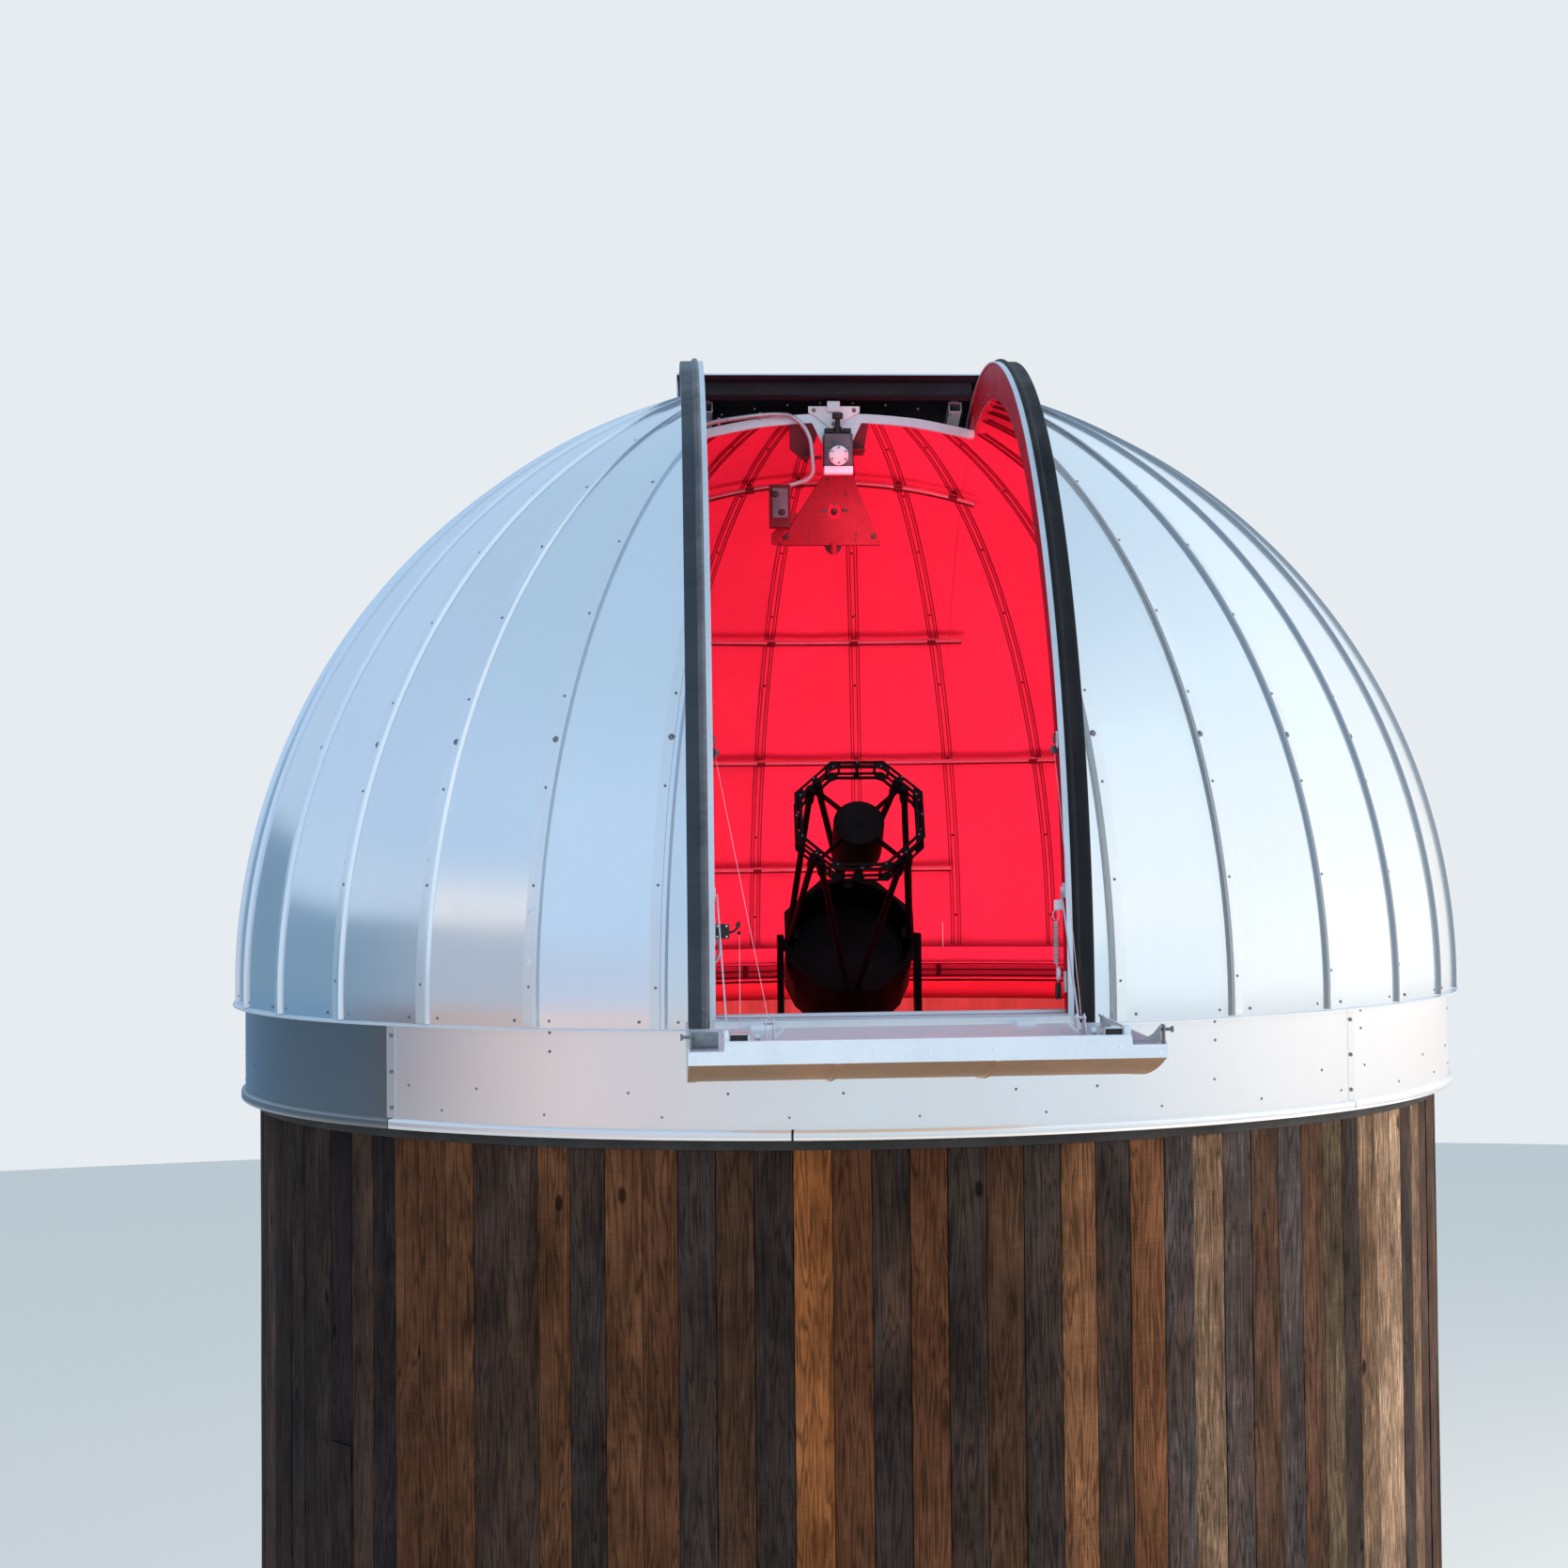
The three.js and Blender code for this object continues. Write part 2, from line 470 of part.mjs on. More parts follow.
/** The lower shutter, stored swung out level: a curved tray, a front beam and two side rails. */
function buildLowerShutter(hinge) {
  const shutter = new THREE.Group();
  shutter.position.set(0, hinge.y, hinge.z);
  const halfArc = THREE.MathUtils.radToDeg(Math.asin(LOWER_LENGTH / 2 / LOWER_RADIUS));
  const rise = Math.sqrt(LOWER_RADIUS ** 2 - (LOWER_LENGTH / 2) ** 2);
  const place = (shape) => shape.translate([0, -LOWER_LENGTH / 2, rise]);
  const arc = archSector(-90 - halfArc + 0.25, -90 + halfArc);
  const inner = LOWER_RADIUS - SHEET;
  const cover = place(turnedAboutX(rectangle(-SHUTTER_HALF, SHUTTER_HALF, inner, LOWER_RADIUS)).intersect(arc));
  const side = SHUTTER_HALF - SHUTTER_SHEET;
  const disc = place(turnedAboutX(rectangle(-SHUTTER_HALF, -side, 0, inner + 1)));
  const cheek = disc.intersect(block(-FAR, FAR, -LOWER_LENGTH, -LOWER_CHEEK.end, -FAR, LOWER_CHEEK.top));
  const { low, high, space } = KNUCKLE;
  const knuckle = block(-KNUCKLE.half, KNUCKLE.half, -KNUCKLE.back, -KNUCKLE.front, low, high);
  const places = [HINGE.x - space - KNUCKLE.half, HINGE.x + space + KNUCKLE.half];
  const knuckles = places.flatMap((x) => [x, -x]).map((x) => knuckle.translate([x, 0, 0]));
  const room = HINGE.half + 2;
  const clear = [-HINGE.x, HINGE.x].map((x) => block(x - room, x + room, -KNUCKLE.back - 5, room, -room, room));
  const tray = joined([cover, cheek, cheek.mirror([1, 0, 0]), ...knuckles]).subtract(joined(clear));
  addMesh(shutter, 'lower_shutter_cover', tray, GALVANISED);
  const front = -LOWER_LENGTH;
  const face = front - LOWER_BEAM.sheet;
  const { half } = LOWER_BEAM;
  const beam = joined([
    block(-half, half, face, front - SEAT, LOWER_BEAM.low, LOWER_BEAM.high),
    block(-half, half, face, front + LOWER_BEAM.fold, LOWER_BEAM.high - LOWER_BEAM.foldSheet, LOWER_BEAM.high),
    block(-side, side, face, front - SEAT, LOWER_BEAM.low, LOWER_BEAM.notch)]);
  addMesh(shutter, 'lower_shutter_beam', beam, WHITE_METAL);
  [['right', 1], ['left', -1]].forEach(([name, sign]) => {
    const section = rectangle(sign * LOWER_RAIL.inner, sign * LOWER_RAIL.outer,
      LOWER_RADIUS - LOWER_RAIL.depth, inner - SEAT);
    const rail = place(turnedAboutX(section))
      .intersect(block(-FAR, FAR, front + LOWER_RAIL.front, -LOWER_RAIL.back, -FAR, LOWER_RAIL.top));
    addMesh(shutter, `lower_shutter_rail_${name}`, rail, WHITE_METAL);
  });
  return shutter;
}

/** The pier that stands on the slab and passes through the floor. */
function buildPier() {
  const pier = new THREE.Group();
  const plateTop = SLAB_HEIGHT + PIER_FOOT.thickness;
  const foot = turned([[PIER_FOOT.radius, SLAB_HEIGHT + SEAT], [PIER_FOOT.radius, plateTop],
    [PIER_RADIUS, plateTop], [PIER_RADIUS, PIER_TOP], [0, PIER_TOP], [0, SLAB_HEIGHT + SEAT]], 24);
  addMesh(pier, 'telescope_pier', foot, DARK_STEEL);
  return pier;
}

/** The fork: a turntable on the pier, a crossbar and two arms that hold the tube's trunnions. */
function buildFork() {
  const fork = new THREE.Group();
  const { half, crossbarHalf, armHalf } = FORK;
  const baseTop = PIER_TOP + TURNTABLE.thickness;
  const base = turned([[TURNTABLE.radius, PIER_TOP + SEAT], [TURNTABLE.radius, baseTop],
    [0, baseTop], [0, PIER_TOP + SEAT]], 24);
  const crossbar = block(-half, half, -crossbarHalf, crossbarHalf, baseTop - 1, PIER_TOP + FORK.crossbarTop);
  const inner = half - FORK.arm;
  const armLow = PIER_TOP + FORK.crossbarTop - 10;
  const rightArm = block(inner, half, -armHalf, armHalf, armLow, TUBE_PIVOT_Z + FORK.armTop)
    .subtract(bar([inner - 10, 0, TUBE_PIVOT_Z], [TRUNNION.boreEnd, 0, TUBE_PIVOT_Z], TRUNNION.bore, 24));
  const arms = [rightArm, rightArm.mirror([1, 0, 0])];
  addMesh(fork, 'telescope_fork', joined([base, crossbar, ...arms]), BLACK);
  return fork;
}

/** The tube: a mirror cell on trunnions, a truss of poles up to the front ring, and the baffle. */
function buildTube() {
  const tube = new THREE.Group();
  tube.position.z = TUBE_PIVOT_Z;
  tube.rotation.x = rad(90 - TUBE_ELEVATION);
  const { bottom, top, wall, floor } = CELL;
  const cell = turned([[0, bottom], [CELL_RADIUS, bottom], [CELL_RADIUS, top],
    [CELL_RADIUS - wall, top], [CELL_RADIUS - wall, bottom + floor], [0, bottom + floor]], 16);
  const { inner, outer } = TRUNNION;
  const trunnions = [1, -1].map((side) => bar([side * inner, 0, 0], [side * outer, 0, 0], TRUNNION.radius, 24));
  addMesh(tube, 'telescope_cell', joined([cell, ...trunnions]), BLACK);
  const low = turned(rectangle(TRUSS.lowInner, CELL_RADIUS, top + SEAT, top + TRUSS.plate), 16);
  const ringInner = RING_RADIUS - TRUSS.ringWall;
  const high = turned(rectangle(ringInner, RING_RADIUS,
    RING_DISTANCE - TRUSS.ringHalf, RING_DISTANCE + TRUSS.ringHalf), 8).rotate([0, 0, 22.5]);
  const poles = [];
  for (let i = 0; i < 8; i += 1) {
    const corner = 90 * Math.floor(i / 2);
    const lean = i % 2 ? -1 : 1;
    const foot = rad(corner + lean * POLE_ENDS.footTurn);
    const head = rad(corner + lean * POLE_ENDS.topTurn);
    poles.push(bar(
      [POLE_ENDS.footRadius * Math.cos(foot), POLE_ENDS.footRadius * Math.sin(foot), top + 6],
      [POLE_ENDS.topRadius * Math.cos(head), POLE_ENDS.topRadius * Math.sin(head),
        RING_DISTANCE - TRUSS.ringHalf + 10], TRUSS.poleRadius));
  }
  addMesh(tube, 'telescope_truss', joined([low, high, ...poles]), BLACK);
  const { back, front, vane, vaneBack, vaneFront } = BAFFLE;
  const hub = bar([0, 0, RING_DISTANCE - back], [0, 0, RING_DISTANCE - front], BAFFLE.radius, 16);
  const reach = ringInner * Math.cos(Math.PI / 8) - 2 * SEAT;
  const across = block(-reach, reach, -vane, vane, RING_DISTANCE - vaneBack, RING_DISTANCE - vaneFront);
  const vanes = [across, across.rotate([0, 0, 90])];
  addMesh(tube, 'secondary_baffle', joined([hub, ...vanes]).rotate([0, 0, 45]), BLACK);
  return tube;
}

const hinge = {
  y: -LOWER_RADIUS * Math.cos(rad(LOWER_START)),
  z: CENTRE_Z + LOWER_RADIUS * Math.sin(rad(LOWER_START)),
};
const dome = new THREE.Group();
buildBaseRing(dome);
buildSkirt(dome);
buildSkin(dome);
buildCurbs(dome);
buildHeader(dome);
buildSill(dome, hinge);
buildInnerBars(dome);
buildDrive(dome);
dome.add(buildUpperShutter(), buildLowerShutter(hinge));

const observatory = new THREE.Group();
observatory.add(buildDrum(), buildTrack(), dome, buildPier(), buildFork(), buildTube());

export default observatory;
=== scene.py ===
"""A small observatory: a round tower of reclaimed boards under a turning metal dome, with its slit open.

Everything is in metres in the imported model's frame: +Z up, the slit towards -Y, the dome's axis on Z.
Compass angles run from 0 at the slit to 90 at +X, and arc angles from 0 at the front to 90 overhead.
"""

import math

import bmesh
import bpy
import numpy as np
from mathutils import Matrix, Vector


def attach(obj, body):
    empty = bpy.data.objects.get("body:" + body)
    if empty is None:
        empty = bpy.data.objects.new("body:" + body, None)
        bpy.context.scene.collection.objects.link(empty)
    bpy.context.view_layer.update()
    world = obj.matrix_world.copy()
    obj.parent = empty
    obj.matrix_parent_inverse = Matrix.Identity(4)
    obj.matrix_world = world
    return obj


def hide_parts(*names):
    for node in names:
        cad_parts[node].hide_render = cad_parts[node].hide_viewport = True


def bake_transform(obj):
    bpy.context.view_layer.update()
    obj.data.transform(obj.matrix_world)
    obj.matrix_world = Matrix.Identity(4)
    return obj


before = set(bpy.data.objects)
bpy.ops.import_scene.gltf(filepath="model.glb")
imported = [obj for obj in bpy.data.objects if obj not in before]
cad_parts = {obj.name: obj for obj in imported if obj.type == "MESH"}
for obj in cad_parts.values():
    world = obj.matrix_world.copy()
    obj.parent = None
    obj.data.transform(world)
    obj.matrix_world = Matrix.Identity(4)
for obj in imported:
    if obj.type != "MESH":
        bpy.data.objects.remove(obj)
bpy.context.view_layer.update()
scene = bpy.context.scene

# --- Studio: a pale floor, a soft sky and a long lens a little left of the slit. The sky is dim to the left with a
# bank of light before it, and pale to the right, so the bare metal shows tones. None of it is part of the building.
LENS, AIM_X, AIM_Y, PICTURE = 3321.93, 1000.0, 750.0, 1669.0
yaw, pitch, roll = 0.087, 0.036, 0.011
ahead = np.array([math.sin(yaw) * math.cos(pitch), math.cos(yaw) * math.cos(pitch), math.sin(pitch)])
level = np.array([math.cos(yaw), -math.sin(yaw), 0])
upright = np.cross(level, ahead)
right = level * math.cos(roll) - upright * math.sin(roll)
up = level * math.sin(roll) + upright * math.cos(roll)
lens = bpy.data.cameras.new("camera")
lens.sensor_width, lens.lens = 36.0, LENS / PICTURE * 36.0
lens.shift_x, lens.shift_y = (PICTURE / 2 - AIM_X) / PICTURE, (AIM_Y - PICTURE / 2) / PICTURE
lens.clip_start, lens.clip_end = 0.1, 400.0
camera = bpy.data.objects.new("camera", lens)
pose = Matrix([[right[i], up[i], -ahead[i], 0.0] for i in range(3)] + [[0, 0, 0, 1]])
pose.translation = (-0.6708, -11.7173, 4.7407)
camera.matrix_world = pose
scene.collection.objects.link(camera)
scene.camera = camera
scene.view_settings.view_transform = "Standard"


def node(tree, kind, **settings):
    """A shader node with its settings; settings that name an input socket set that socket's value."""
    made = tree.nodes.new("ShaderNode" + kind)
    for key, value in settings.items():
        if hasattr(made, key):
            setattr(made, key, value)
        else:
            made.inputs[key.replace("_", " ")].default_value = value
    return made


def wire(tree, *pairs):
    """Joins sockets: each pair is (node, its output) then (node, its input)."""
    for (source, out), (target, into) in pairs:
        tree.links.new(source.outputs[out], target.inputs[into])


def give(tree, part, socket):
    """Gives a socket a plain value, or joins it to a (node, output) pair."""
    if isinstance(part, tuple) and isinstance(part[0], bpy.types.Node):
        tree.links.new(part[0].outputs[part[1]], socket)
    else:
        socket.default_value = part


def mixed(tree, first, second, factor=1.0, way="MULTIPLY"):
    """A mix of two colours. Each part here and below is a plain value or a (node, output) pair."""
    made = node(tree, "Mix", data_type="RGBA", blend_type=way)
    for place, part in ((0, factor), (6, first), (7, second)):
        give(tree, part, made.inputs[place])
    return (made, 2)


def sum_of(tree, way, first, second):
    """One sum of two numbers."""
    made = node(tree, "Math", operation=way)
    for place, part in enumerate((first, second)):
        give(tree, part, made.inputs[place])
    return (made, "Value")


def ranged(tree, source, low, high, to_low=0.0, to_high=1.0, ease="LINEAR"):
    """A number carried from one range to another and held at its ends."""
    made = node(tree, "MapRange", clamp=True, interpolation_type=ease, To_Min=to_low, To_Max=to_high)
    for label, part in (("Value", source), ("From Min", low), ("From Max", high)):
        give(tree, part, made.inputs[label])
    return (made, "Result")


world = bpy.data.worlds.new("soft_sky")
scene.world = world
world.use_nodes = True
sky = world.node_tree
sky.nodes.clear()
split = node(sky, "SeparateXYZ")
wire(sky, ((node(sky, "TexCoord"), "Generated"), (split, "Vector")))


def sky_ramp(source, *stops):
    """A ramp of colours over a value between 0 and 1."""
    made = node(sky, "ValToRGB")
    first, last = made.color_ramp.elements
    first.position, first.color = stops[0][0], (*stops[0][1], 1)
    last.position, last.color = stops[-1][0], (*stops[-1][1], 1)
    for place, colour in stops[1:-1]:
        made.color_ramp.elements.new(place).color = (*colour, 1)
    wire(sky, (source, (made, "Fac")))
    return (made, "Color")


def between(axis, low, high):
    """How far a direction lies between two values of one axis, eased at both."""
    return ranged(sky, (split, axis), low, high, ease="SMOOTHSTEP")


compass = sum_of(sky, "ARCTAN2", (split, "X"), sum_of(sky, "MULTIPLY", (split, "Y"), -1.0))
round_sky = sum_of(sky, "ADD", sum_of(sky, "DIVIDE", compass, 2 * math.pi), 0.5)
high = ranged(sky, (split, "Z"), -1.0, 1.0)
left_sky = sky_ramp(high, (0.0, (0.49, 0.66, 0.88)), (0.75, (0.49, 0.66, 0.88)), (0.9, (0.43, 0.60, 0.78)),
                    (1.0, (0.42, 0.59, 0.78)))
right_sky = sky_ramp(high, (0.5, (1.0, 1.03, 1.06)), (0.725, (0.88, 0.97, 1.05)), (0.8, (0.80, 0.94, 1.04)),
                     (0.91, (0.60, 0.75, 0.90)),
                     (1.0, (0.50, 0.68, 0.86)))
sides = mixed(sky, left_sky, right_sky, between("X", -0.25, 0.80), "MIX")
horizon = sky_ramp(round_sky, (0.03, (0.17, 0.30, 0.44)), (0.228, (0.17, 0.30, 0.44)), (0.238, (0.30, 0.38, 0.49)),
                   (0.292, (0.42, 0.48, 0.59)), (0.33, (0.46, 0.51, 0.62)), (0.358, (0.50, 0.60, 0.78)),
                   (0.40, (0.54, 0.64, 0.80)),
                   (0.5, (0.62, 0.76, 0.86)), (0.62, (0.62, 0.78, 0.88)), (0.653, (0.88, 0.97, 1.03)),
                   (0.72, (1.0, 1.03, 1.06)),
                   (0.84, (1.1, 1.1, 1.1)), (0.90, (1.0, 1.0, 0.99)), (0.97, (0.5, 0.55, 0.6)))
# Where the haze ends: red holds its height, green half its soft edge and blue how strongly the bank of light shows.
traits = sky_ramp(round_sky, (0.13, (0.13, 0.015, 0.05)), (0.175, (0.10, 0.013, 0.1)), (0.222, (0.125, 0.013, 0.2)),
                  (0.267, (0.14, 0.013, 0.25)), (0.283, (0.15, 0.013, 1.0)), (0.292, (0.155, 0.013, 1.0)),
                  (0.317, (0.15, 0.015, 1.0)),
                  (0.328, (0.15, 0.02, 0.1)), (0.36, (0.12, 0.05, 0.0)), (0.42, (0.12, 0.11, 0.0)),
                  (1.0, (0.12, 0.11, 0.0)))
parts = node(sky, "SeparateColor")
wire(sky, (traits, (parts, "Color")))
haze = between("Z", sum_of(sky, "SUBTRACT", (parts, "Red"), (parts, "Green")),
               sum_of(sky, "ADD", (parts, "Red"), (parts, "Green")))
bank = sum_of(sky, "MULTIPLY", (parts, "Blue"), between("Z", 0.32, 0.19))
hazy = mixed(sky, horizon, mixed(sky, sides, (0.90, 0.87, 0.90, 1), bank, "MIX"), haze, "MIX")
underfoot = sky_ramp(round_sky, (0.03, (0.15, 0.28, 0.46)), (0.222, (0.10, 0.25, 0.44)),
                     (0.2306, (0.15, 0.125, 0.15)), (0.258, (0.28, 0.17, 0.17)),
                     (0.292, (0.52, 0.35, 0.31)), (0.344, (0.92, 0.64, 0.54)), (0.394, (0.70, 0.54, 0.52)),
                     (0.489, (0.61, 0.75, 0.85)),
                     (0.583, (0.62, 0.75, 0.885)), (0.689, (0.70, 0.74, 0.79)), (0.769, (0.85, 0.86, 0.87)),
                     (0.90, (0.8, 0.8, 0.8)))
glow = node(sky, "Background", Strength=1.0)
backdrop = node(sky, "Background", Strength=1.0, Color=(0.80, 0.84, 0.88, 1))
either = node(sky, "MixShader")
wire(sky, (mixed(sky, hazy, underfoot, between("Z", -0.045, -0.07), "MIX"), (glow, "Color")),
     ((node(sky, "LightPath"), "Is Camera Ray"), (either, 0)), ((glow, "Background"), (either, 1)),
     ((backdrop, "Background"), (either, 2)), ((either, "Shader"), (node(sky, "OutputWorld"), "Surface")))


def soft_lamp(name, place, target, size, power, colour):
    """A square area lamp at one place, aimed at another. It isn't seen, not in the metal either."""
    light = bpy.data.lights.new(name, "AREA")
    light.energy, light.size, light.color = power, size, colour
    lamp = bpy.data.objects.new(name, light)
    lamp.location = place
    lamp.rotation_euler = (Vector(target) - Vector(place)).to_track_quat("-Z", "Y").to_euler()
    lamp.visible_camera = lamp.visible_glossy = False
    scene.collection.objects.link(lamp)


def fresh(name):
    """A new material, its node tree and its shader."""
    finish = bpy.data.materials.new(name)
    finish.use_nodes = True
    return finish, finish.node_tree, finish.node_tree.nodes["Principled BSDF"]


soft_lamp("key_softbox", (17.0, -2.5, 6.0), (0, 0, 2.5), 7.0, 3600, (1.0, 0.92, 0.85))
soft_lamp("fill_softbox", (-5.0, -15.0, 8.0), (0, 0, 3.0), 8.0, 420, (1.0, 0.95, 0.90))
FLOOR_REACH = 34
turn = np.linspace(0, 2 * np.pi, 96, endpoint=False)
ground = bpy.data.meshes.new("studio_floor")
ground.from_pydata(FLOOR_REACH * np.stack([np.cos(turn), np.sin(turn), 0 * turn], -1), [], [list(range(96))])
floor = bpy.data.objects.new("studio_floor", ground)
pale, tree, shader = fresh("studio_floor")
shader.inputs["Base Color"].default_value = (0.86, 0.79, 0.70, 1)
shader.inputs["Roughness"].default_value = 0.9
ground.materials.append(pale)
scene.collection.objects.link(floor)

# --- Slab: one round pour of concrete at ground level, floated on top and left plain at its edge.
# It keeps its solid, with the clouding, fine sand and small pits of site-cast concrete.


def group(name, inputs, outputs):
    """An empty node group with named inputs (name, kind, value) and outputs (name, kind)."""
    made = bpy.data.node_groups.new(name, "ShaderNodeTree")
    for label, kind, value in inputs:
        socket = made.interface.new_socket(label, in_out="INPUT", socket_type="NodeSocket" + kind)
        if value is not None:
            socket.default_value = value
    for label, kind in outputs:
        made.interface.new_socket(label, in_out="OUTPUT", socket_type="NodeSocket" + kind)
    return made, made.nodes.new("NodeGroupInput"), made.nodes.new("NodeGroupOutput")


clouding, given, result = group(
    "clouding", [("Vector", "Vector", None), ("Size", "Float", 2.0), ("Light", "Color", (0.8, 0.8, 0.8, 1)),
                 ("Dark", "Color", (0.5, 0.5, 0.5, 1)), ("Speckle", "Float", 60.0)],
    [("Color", "Color"), ("Mask", "Float"), ("Height", "Float")])
broad = node(clouding, "TexNoise", Detail=5.0, Roughness=0.62)
fine = node(clouding, "TexNoise", Detail=3.0, Roughness=0.7)
mask = ranged(clouding, mixed(clouding, (broad, "Fac"), (fine, "Fac"), 0.35, "MIX"), 0.34, 0.66)
wire(clouding, ((given, "Vector"), (broad, "Vector")), ((given, "Vector"), (fine, "Vector")),
     ((given, "Size"), (broad, "Scale")), ((given, "Speckle"), (fine, "Scale")), (mask, (result, "Mask")),
     (mixed(clouding, (given, "Dark"), (given, "Light"), mask, "MIX"), (result, "Color")),
     ((fine, "Fac"), (result, "Height")))


def painted(name, light, dark, size=2.0, speckle=60.0, roughness=0.6, metallic=0.0, bump=0.1, grain=0.002,
            stretch=None,
            rough_spread=0.12, shine=0.5):
    """A finish that clouds between two colours. Its roughness follows the clouds, its fine bumps the speckle."""
    finish, tree, shader = fresh(name)
    squeeze = node(tree, "Mapping", Scale=stretch or (1, 1, 1))
    clouds = node(tree, "Group", node_tree=clouding, Size=size, Speckle=speckle, Light=(*light, 1), Dark=(*dark, 1))
    wear = ranged(tree, (clouds, "Mask"), 0.0, 1.0, roughness + rough_spread, roughness - rough_spread / 2)
    raised = node(tree, "Bump", Strength=bump, Distance=grain)
    shader.inputs["Metallic"].default_value = metallic
    shader.inputs["Specular IOR Level"].default_value = shine
    wire(tree, ((node(tree, "TexCoord"), "Object"), (squeeze, "Vector")), ((squeeze, "Vector"), (clouds, "Vector")),
         ((clouds, "Color"), (shader, "Base Color")), (wear, (shader, "Roughness")),
         ((clouds, "Height"), (raised, "Height")), ((raised, "Normal"), (shader, "Normal")))
    return finish


def finish_node(finish, *names):
    """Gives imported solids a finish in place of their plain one."""
    for name in names:
        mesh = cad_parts[name].data
        mesh.materials.clear()
        mesh.materials.append(finish)


concrete = painted("concrete", (0.46, 0.45, 0.42), (0.30, 0.29, 0.27), 1.6, 140, 0.85, bump=0.5, grain=0.004)
finish_node(concrete, "ground_slab")

# --- Wall lining: the framed wall behind the boards, lined inside with broad upright planks of plain sawn timber.
# It stays the imported solid; only its inside shows, through the doorway, the hatch and the slit.
# The lining's colour is redder than the other sawn timber's: its wood colour with painted red lamp light.
lining = painted("wall_lining", (0.36, 0.13, 0.085), (0.22, 0.075, 0.048), 3.0, 55, 0.72, bump=0.35, grain=0.003,
                 stretch=(7, 7, 0.35))
finish_node(lining, *[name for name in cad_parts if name.startswith("wall_")])

# --- Boards: reclaimed upright boards nailed to the round wall, charcoal to orange brown, about 116 of them.
# Their edges are eased, their faces lie a few millimetres in or out, and some are made up of two lengths.
# Edges across the front are compass angles; the rest of the round goes on in mixed widths.


def add(name, points, faces, finish, body, slot, *stands_for, sharp=32, attributes=None):
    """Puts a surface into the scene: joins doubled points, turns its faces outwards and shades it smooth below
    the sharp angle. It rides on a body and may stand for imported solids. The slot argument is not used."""
    mesh = bpy.data.meshes.new(name)
    mesh.from_pydata(points.reshape(-1, 3), [], faces.reshape(-1, 4))
    for label, values in (attributes or {}).items():
        vector = values.ndim > 1
        layer = mesh.attributes.new(label, "FLOAT_VECTOR" if vector else "FLOAT", "POINT")
        layer.data.foreach_set("vector" if vector else "value", values.astype(np.float32).ravel())
    shaping = bmesh.new()
    shaping.from_mesh(mesh)
    bmesh.ops.remove_doubles(shaping, verts=shaping.verts, dist=2e-6)
    bmesh.ops.recalc_face_normals(shaping, faces=shaping.faces)
    shaping.to_mesh(mesh)
    shaping.free()
    mesh.polygons.foreach_set("use_smooth", np.ones(len(mesh.polygons), bool))
    mesh.set_sharp_from_angle(angle=math.radians(sharp))
    for material in finish if isinstance(finish, (list, tuple)) else [finish]:
        mesh.materials.append(material)
    made = bpy.data.objects.new(name, mesh)
    scene.collection.objects.link(made)
    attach(made, body)
    if stands_for:
        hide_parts(*stands_for)
    return made


def lofted(rows, ring=False):
    """Closed outlines joined in order: rows[i, j] is point j of outline i, with quads between neighbours.
    Unless the rows close in a ring, each end is capped by quads that zip its outline's two halves together.
    rows may have leading axes, one for each copy."""
    rows = np.asarray(rows, float)
    count, around = rows.shape[-3], rows.shape[-2]
    i, j = np.meshgrid(np.arange(count if ring else count - 1), np.arange(around), indexing="ij")
    after, beside = (i + 1) % count, (j + 1) % around
    faces = [np.stack([i * around + j, after * around + j, after * around + beside, i * around + beside],
                      -1).reshape(-1, 4)]
    if not ring:
        k = np.arange(around // 2 - 1)
        for start in (0, (count - 1) * around):
            faces.append(start + np.stack([k, k + 1, around - 2 - k, around - 1 - k], -1))
    faces = np.concatenate(faces)
    copies = int(np.prod(rows.shape[:-3], dtype=int))
    faces = (faces[None] + np.arange(copies)[:, None, None] * count * around).reshape(-1, 4)
    return rows.reshape(-1, 3), faces


def together(*shapes):
    """Several shapes as one: their points follow each other and each one's faces are counted on from there."""
    starts = np.cumsum([0] + [len(points) for points, faces in shapes[:-1]])
    return (np.concatenate([points for points, faces in shapes]),
            np.concatenate([faces + start for (points, faces), start in zip(shapes, starts)]))


BOARD_BACK, BOARD_FACE, BOARD_FOOT, BOARD_HEAD = 2.137, 2.1565, 0.135, 3.915
chance = np.random.default_rng(41)
front_edges = [-46.3, -43.2, -40.0, -36.9, -33.5, -30.3, -27.2, -24.0, -20.7, -17.6, -14.4, -11.2, -8.0, -4.8, -1.6,
               1.5, 4.6, 7.8, 11.0, 14.2, 17.3, 20.5, 23.8, 26.7, 30.0, 33.1, 36.3, 39.4, 42.4, 45.4, 48.2, 51.6,
               54.6, 57.4, 60.6, 63.6, 66.8, 70.0]
front_stains = "mmpccpdpmdndomdmdndldpgtgbgbydtTTdtcc"
widths = chance.choice([2.6, 3.1, 3.2, 3.3, 3.6], 77)
widths *= (360 + front_edges[0] - front_edges[-1]) / widths.sum()
edges = np.concatenate([front_edges, front_edges[-1] + np.cumsum(widths)])
stain_of = {"k": (0.024, 0.017, 0.017), "d": (0.035, 0.026, 0.023), "c": (0.056, 0.034, 0.026),
            "n": (0.070, 0.036, 0.022), "m": (0.092, 0.038, 0.019), "p": (0.118, 0.050, 0.024),
            "l": (0.145, 0.066, 0.032), "o": (0.25, 0.09, 0.030), "t": (0.110, 0.070, 0.045),
            "T": (0.18, 0.120, 0.080), "g": (0.044, 0.036, 0.035), "b": (0.058, 0.032, 0.021),
            "y": (0.062, 0.044, 0.028)}
# The last sixteen boards, round the left side before the front, get the darkest stains: painted shade.
rest_stains_with_painted_shade = "".join(chance.choice(list("kdcmltgb"), 61)) + "ckkdkkdckkdkdkck"
stains = np.array([stain_of[s] for s in front_stains + rest_stains_with_painted_shade])
worn_of = {"g": 0.75, "t": 1.0, "T": 1.0, "b": 0.45, "y": 0.8, "l": 0.35, "p": 0.3, "m": 0.2, "o": 0.25}
